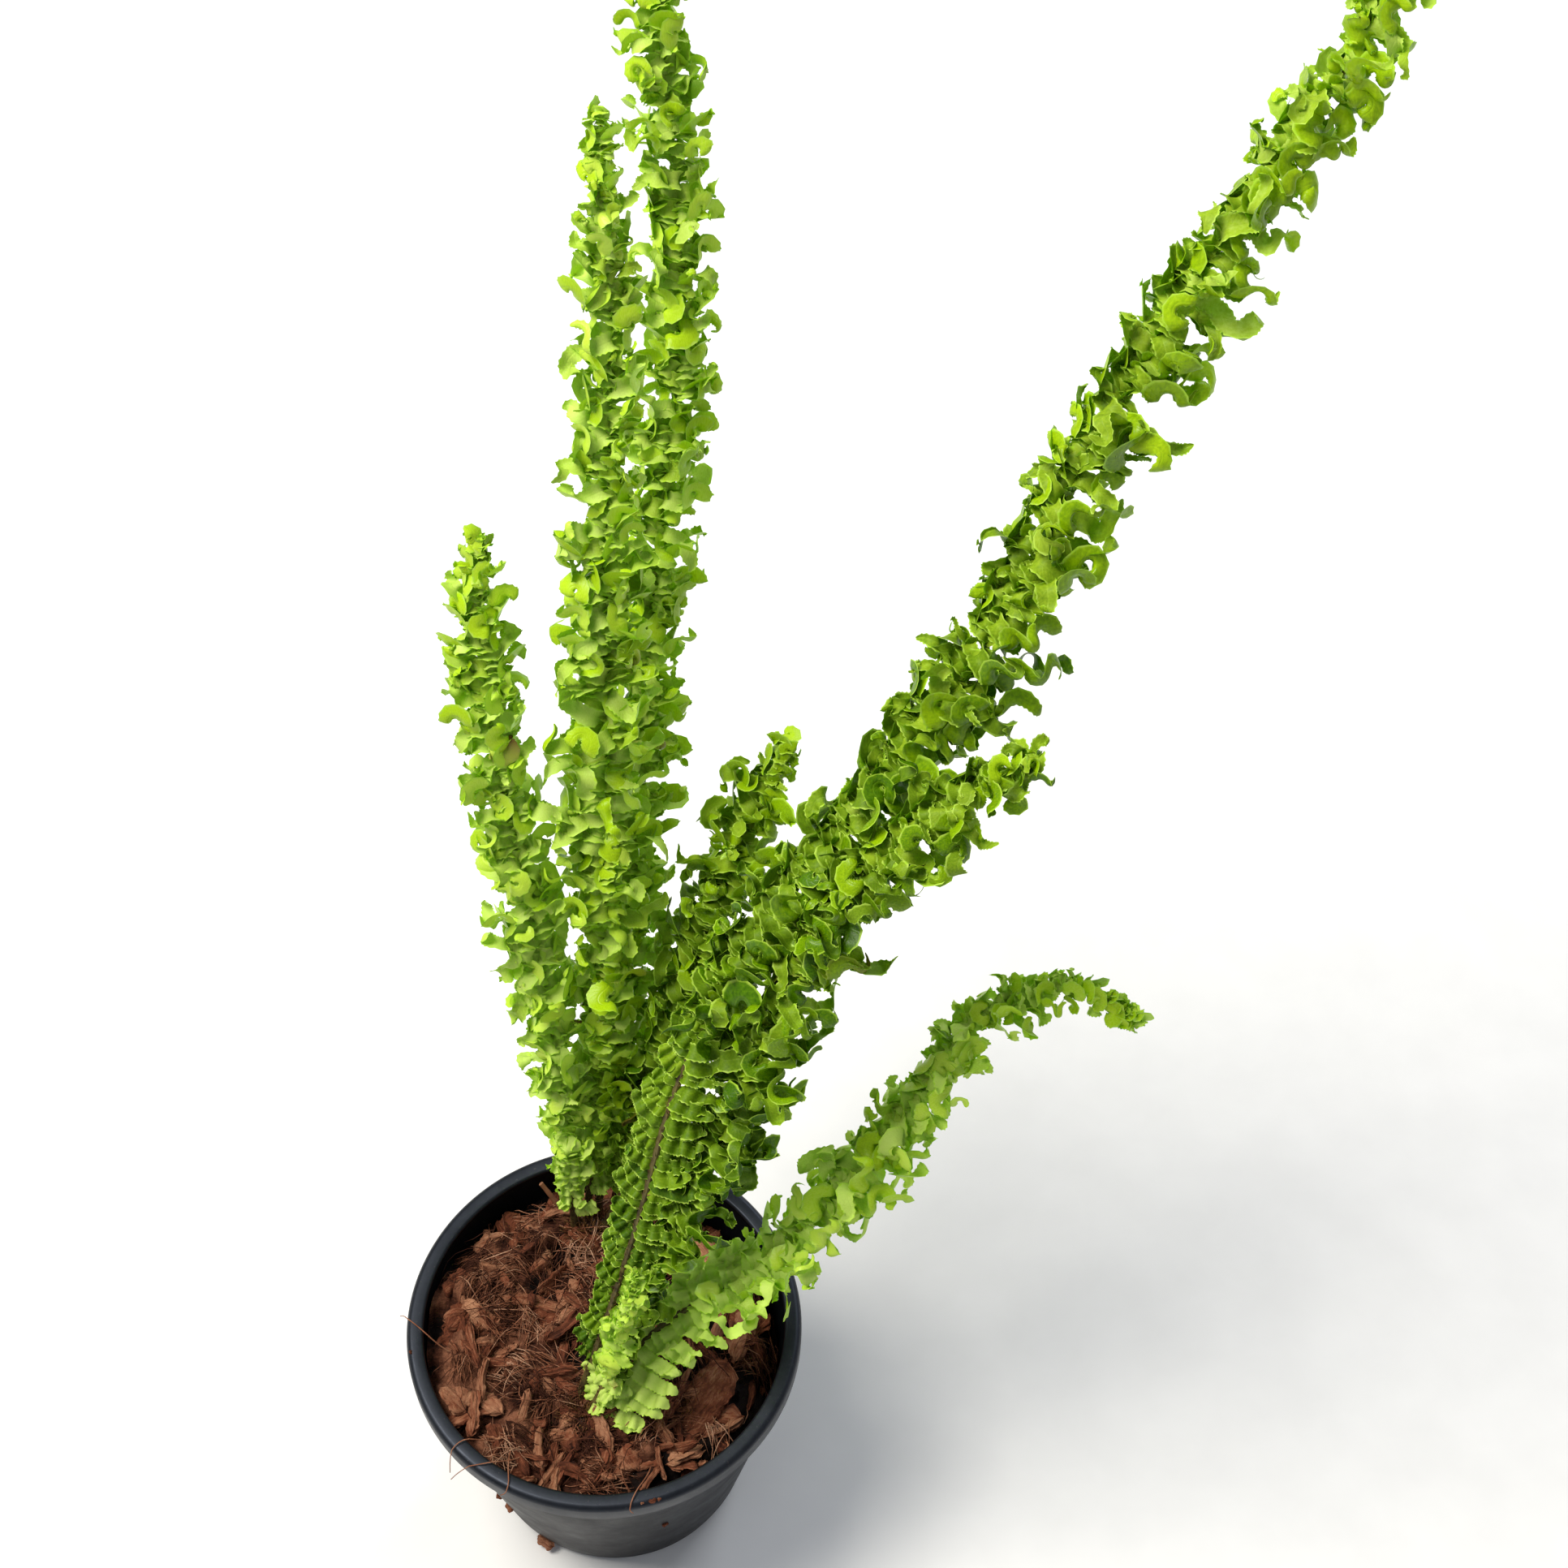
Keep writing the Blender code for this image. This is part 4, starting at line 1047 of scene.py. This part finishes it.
def leaflet_shells(leaf, mirror):
    """The closed shells of many leaflets at once: their points, and what the tissue reads at each."""
    centres, faces, tipward = walk_midribs(leaf, mirror)
    half = strap_outline(leaf["pointed"]) * leaf["width"][:, None] / 2
    tightest = 0.85 * leaf["length"] / np.maximum(np.abs(leaf["curl_in"]) * 1.5, 1e-6)
    inner = np.minimum(half, tightest[:, None])
    teeth = TOOTH * (np.arange(ALONG) % 2) * eased(SHARES, 0.06, 0.2) * eased(1 - SHARES, 0.0, 0.1)
    reach = np.where(SPREAD > 0, inner[..., None], half[..., None]) * SPREAD
    reach[..., 0] -= teeth
    reach[..., -1] += teeth
    bowl = leaf["bowl"][:, None] * eased(SHARES, 0.1, 0.6)
    sideways = tipward * np.cos(bowl)[..., None] - faces * np.sin(bowl)[..., None]
    ripple_at = 2 * math.pi * np.outer(leaf["ripples"], SHARES)[..., None]
    ripple_at = ripple_at + leaf["ripple_phase"][:, None, None]
    ripple = np.sin(ripple_at + np.where(SPREAD > 0, 2.2, 0.0)) * np.abs(SPREAD) ** 1.7
    fullness = (half / half.max(1, keepdims=True))[..., None]
    ripple = ripple * eased(SHARES, 0.02, 0.18)[None, :, None] * leaf["ripple"][:, None, None] * fullness
    trough = leaf["trough"][:, None, None] * (SPREAD ** 2) * fullness
    lifted = (ripple + trough)[..., None] * faces[:, :, None]
    sheet = centres[:, :, None] + sideways[:, :, None] * reach[..., None] + lifted
    normals = unit(np.cross(np.gradient(sheet, axis=2), np.gradient(sheet, axis=1))) * mirror
    thickness = TISSUE * (1 - np.abs(SPREAD) ** 3) * (1 - 0.4 * SHARES[:, None])
    rib = 0.22 * MM * np.exp(-(SPREAD / 0.12) ** 2) * (1 - SHARES[:, None] * 0.8)
    inside = (slice(None), slice(1, -1), slice(1, -1))
    upper = sheet.copy()
    upper[inside] += (normals * thickness[..., None] / 2)[inside]
    lower = (sheet - normals * (thickness / 2 + rib)[..., None])[inside]
    count = len(sheet)
    points = np.concatenate([upper.reshape(count, -1, 3), lower.reshape(count, -1, 3)], 1)
    return points, leaf_readings(leaf, reach, count)


def leaf_readings(leaf, reach, count):
    """What the tissue material reads at every point of the shells."""
    along = leaf["length"][:, None, None] / MM * SHARES[:, None] + np.zeros(ACROSS)
    margin = np.maximum(np.abs(SPREAD)[None, None] + 0 * along,
                        eased(SHARES, 0.93, 1.0)[None, :, None] + 0 * along)
    dry = leaf["dry"][:, None, None] * eased(along / leaf["length"][:, None, None] * MM, 0.55, 0.9)
    dry = np.maximum(dry, leaf["dry"][:, None, None] * 0.5 * eased(margin, 0.6, 1.0))
    tone = leaf["tone"][:, None, None] + 0 * along
    readings = {"leaf_along_mm": along, "leaf_across_mm": reach / MM, "leaf_margin": margin,
                "leaf_dry": dry, "leaf_tone": tone}
    return {key: np.concatenate([grid.reshape(count, -1), grid[:, 1:-1, 1:-1].reshape(count, -1)], 1)
            for key, grid in readings.items()}


print("an upper and a lower grid share a margin of", 2 * (ALONG + ACROSS) - 4, "points")

# %% [markdown]
# ## Rows of leaflets
# Low on a frond the leaflets lie flat beside the stem and only bulge, so the stem shows between the two
# rows. Higher up they curl tightly and stand up over the stem, and the frond turns into a rope. Each frond
# has its own bare foot, the share of its length where the rope begins, its leaflets' reach and its tone,
# which holds their age and painted light and shade.
# Within a row every leaflet is drawn at random round those values, and a few grow out as long points.

# %% What each frond looks like
FLAT_PITCH, CRISP_PITCH = 4.8 * MM, 2.76 * MM  # between the leaflets of a row
# bare foot mm, shares between which the row crisps, reach near the foot, in the middle and at the tip in
# mm, how much longer the right row is than the left one, how far the rows stand up at the foot and at the
# tip in degrees, tone at the foot and at the tip, which holds the leaflets' age and painted light and shade
FRONDS = {
    "left": (14, 0.02, 0.18, 11.5, 21.0, 17.5, 0.0, 8, 12, 1.10, 0.78),
    "centre_left": (20, 0.02, 0.16, 15.0, 23.0, 15.0, -0.10, 8, 12, 0.74, 0.84),
    "centre_right": (20, 0.02, 0.16, 15.0, 20.0, 16.0, -0.06, 8, 12, 0.72, 0.82),
    "short_middle": (20, 0.06, 0.30, 15.5, 24.0, 19.0, -0.12, 8, 12, 0.24, 0.52),
    "tall_right": (24, 0.22, 0.34, 17.0, 27.0, 17.0, 0.20, 6, 6, 0.06, 0.76),
    "middle_right": (22, 0.14, 0.30, 15.0, 24.0, 19.0, 0.12, 6, 10, 0.16, 0.44),
    "arching": (2, 0.14, 0.40, 22.0, 23.0, 13.0, 0.14, 6, 8, 1.08, 0.82),
    "young": (8, 0.10, 0.60, 11.0, 12.5, 8.0, 0.0, 6, 16, 1.08, 1.0),
}
print("rows for", len(FRONDS), "fronds, their leaflets", CRISP_PITCH / MM, "mm apart in the ropes")


def draw_leaflets(name, mirror, rng):
    """The leaflets of one row, drawn at random round the frond's values."""
    bare, crisp_from, crisp_to, low, middle, high, longer, *rest = FRONDS[name]
    lift_low, lift_high, foot_tone_and_painted_light, tip_tone_and_painted_light = rest
    line = lines[name]
    length = line["lengths"][-1]
    steps = np.arange(bare * MM, length, 0.2 * MM)
    pitch = FLAT_PITCH + (CRISP_PITCH - FLAT_PITCH) * eased(steps / length, crisp_from, crisp_to)
    passed = np.cumsum(0.2 * MM / pitch) + (0.5 if mirror > 0 else 0.0)
    at = np.interp(np.arange(1, passed[-1]), passed, steps)
    at = np.clip(at + rng.normal(0, 0.4 * MM, len(at)), 0, length)
    share = at / length
    count = len(at)
    crisp = eased(share, crisp_from, crisp_to)
    reach = np.interp(share, [0.0, 0.12, 0.5, 0.88, 1.0], [low * 0.85, low, middle, high, high * 0.55]) * MM
    reach = reach * (1 + mirror * longer)

    def near(flat, crisped, scatter):
        """Values round flat low on the frond and round crisped in the rope, with a normal scatter."""
        return flat + (crisped - flat) * crisp + rng.normal(0, 1, count) * scatter

    along, right, up = (on_line(line, at, key) for key in ("along", "right", "up"))
    sway = np.radians(near(16, 14, 8) + rng.normal(0, 14, count) * crisp)
    rise = np.interp(share, [0, 1], [lift_low, lift_high]) + rng.normal(0, 1, count) * (9 + 18 * crisp)
    rise = np.radians(rise)
    out = mirror * right * (np.cos(sway) * np.cos(rise))[:, None]
    out = unit(out + along * np.sin(sway)[:, None] + up * (np.sin(rise) * np.cos(sway))[:, None])
    louvre = np.radians(near(26, 36, 10) + rng.normal(0, 18, count) * crisp)
    face = turned(unit(up - out * np.sum(up * out, -1, keepdims=True)), out, -mirror * louvre)
    spiky = rng.random(count) < 0.06 * crisp + 0.01
    ringed = rng.random(count) < 0.5 * crisp
    curl_in = np.radians(np.where(ringed, rng.uniform(240, 340, count), near(30, 170, 10 + 40 * crisp)))
    curl_in = np.where(spiky, np.radians(rng.uniform(-25, 45, count)), curl_in)
    curl_in = curl_in * np.where(rng.random(count) < 0.15 * crisp, -1, 1)
    depth = rng.uniform(0, 1, count) * crisp
    leaf = {
        "foot": on_line(line, at, "points") + (out * near(0.5, -1.6, 0.3)[:, None]
                                               + up * near(0.4, 1.8, 0.2)[:, None]) * MM,
        "out": out,
        "face": face,
        "curl_from": near(0.12, 0.42, 0.05) - 0.28 * depth,
        "curl_to": near(0.5, 0.92, 0.02),
        "length": reach * np.where(spiky, rng.uniform(1.05, 1.3, count),
                                   near(1.2, 1.78, 0.12) - 0.45 * depth),
        "width": near(5.8, 6.0, 0.5) * MM * np.where(spiky, 0.7, 1.0)
                 * np.interp(reach, [8 * MM, 16 * MM], [0.7, 1.0]),
        "curl_in": curl_in,
        "curl_out": np.radians(near(-5, 35, 22 + 20 * crisp)),
        "twist": np.radians(near(0, 0, 34) * (0.2 + 1.2 * crisp)),
        "waves": near(2.7, 2.3, 0.2),
        "wave_phase": rng.uniform(0, 0.7, count),
        "wave_slope": np.abs(near(1.2, 1.15, 0.15)),
        "ripples": near(3.0, 3.2, 0.5),
        "ripple": np.abs(near(0.6, 0.9, 0.3)) * MM * np.where(spiky, 0.6, 1.0),
        "ripple_phase": rng.uniform(0, 2 * math.pi, count),
        "bowl": np.radians(near(6, 34, 8 + 14 * crisp)),
        "trough": near(-0.1, 1.7, 0.6) * MM,
        "pointed": np.where(spiky, 1.0, np.clip(near(0.05, 0.2, 0.25), 0, 1)),
        # Tone from foot to tip: the leaflets' age together with painted light and shade, which brightens or
        # darkens each part of the frond to match how lit it looks.
        "tone": np.interp(share, [0, 1], [foot_tone_and_painted_light, tip_tone_and_painted_light]) + rng.normal(0, 0.10, count),
        "dry": (rng.random(count) < 0.015) * rng.uniform(0.5, 1.0, count),
    }
    return leaf


# %% Grow the rows
total_leaflets = 0
for seed, name in enumerate(FROND_NAMES):
    for side, mirror in (("left", -1.0), ("right", 1.0)):
        leaf = draw_leaflets(name, mirror, np.random.default_rng(100 + 10 * seed + int(mirror)))
        points, readings = leaflet_shells(leaf, mirror)
        count = len(points)
        upper = repeated(UPPER_FACES if mirror < 0 else UPPER_FACES[:, ::-1], count, POINTS_EACH)
        lower = repeated(LOWER_FACES if mirror < 0 else LOWER_FACES[:, ::-1], count, POINTS_EACH)
        node = f"{name}_frond_{side}_leaflets"
        mesh_piece(f"{name}_leaflets_{side}", points, np.concatenate([upper, lower]),
                   (upper_tissue, under_tissue), (node,), readings,
                   np.repeat([0, 1], [len(upper), len(lower)]))
        total_leaflets += count
print(total_leaflets, "leaflets")
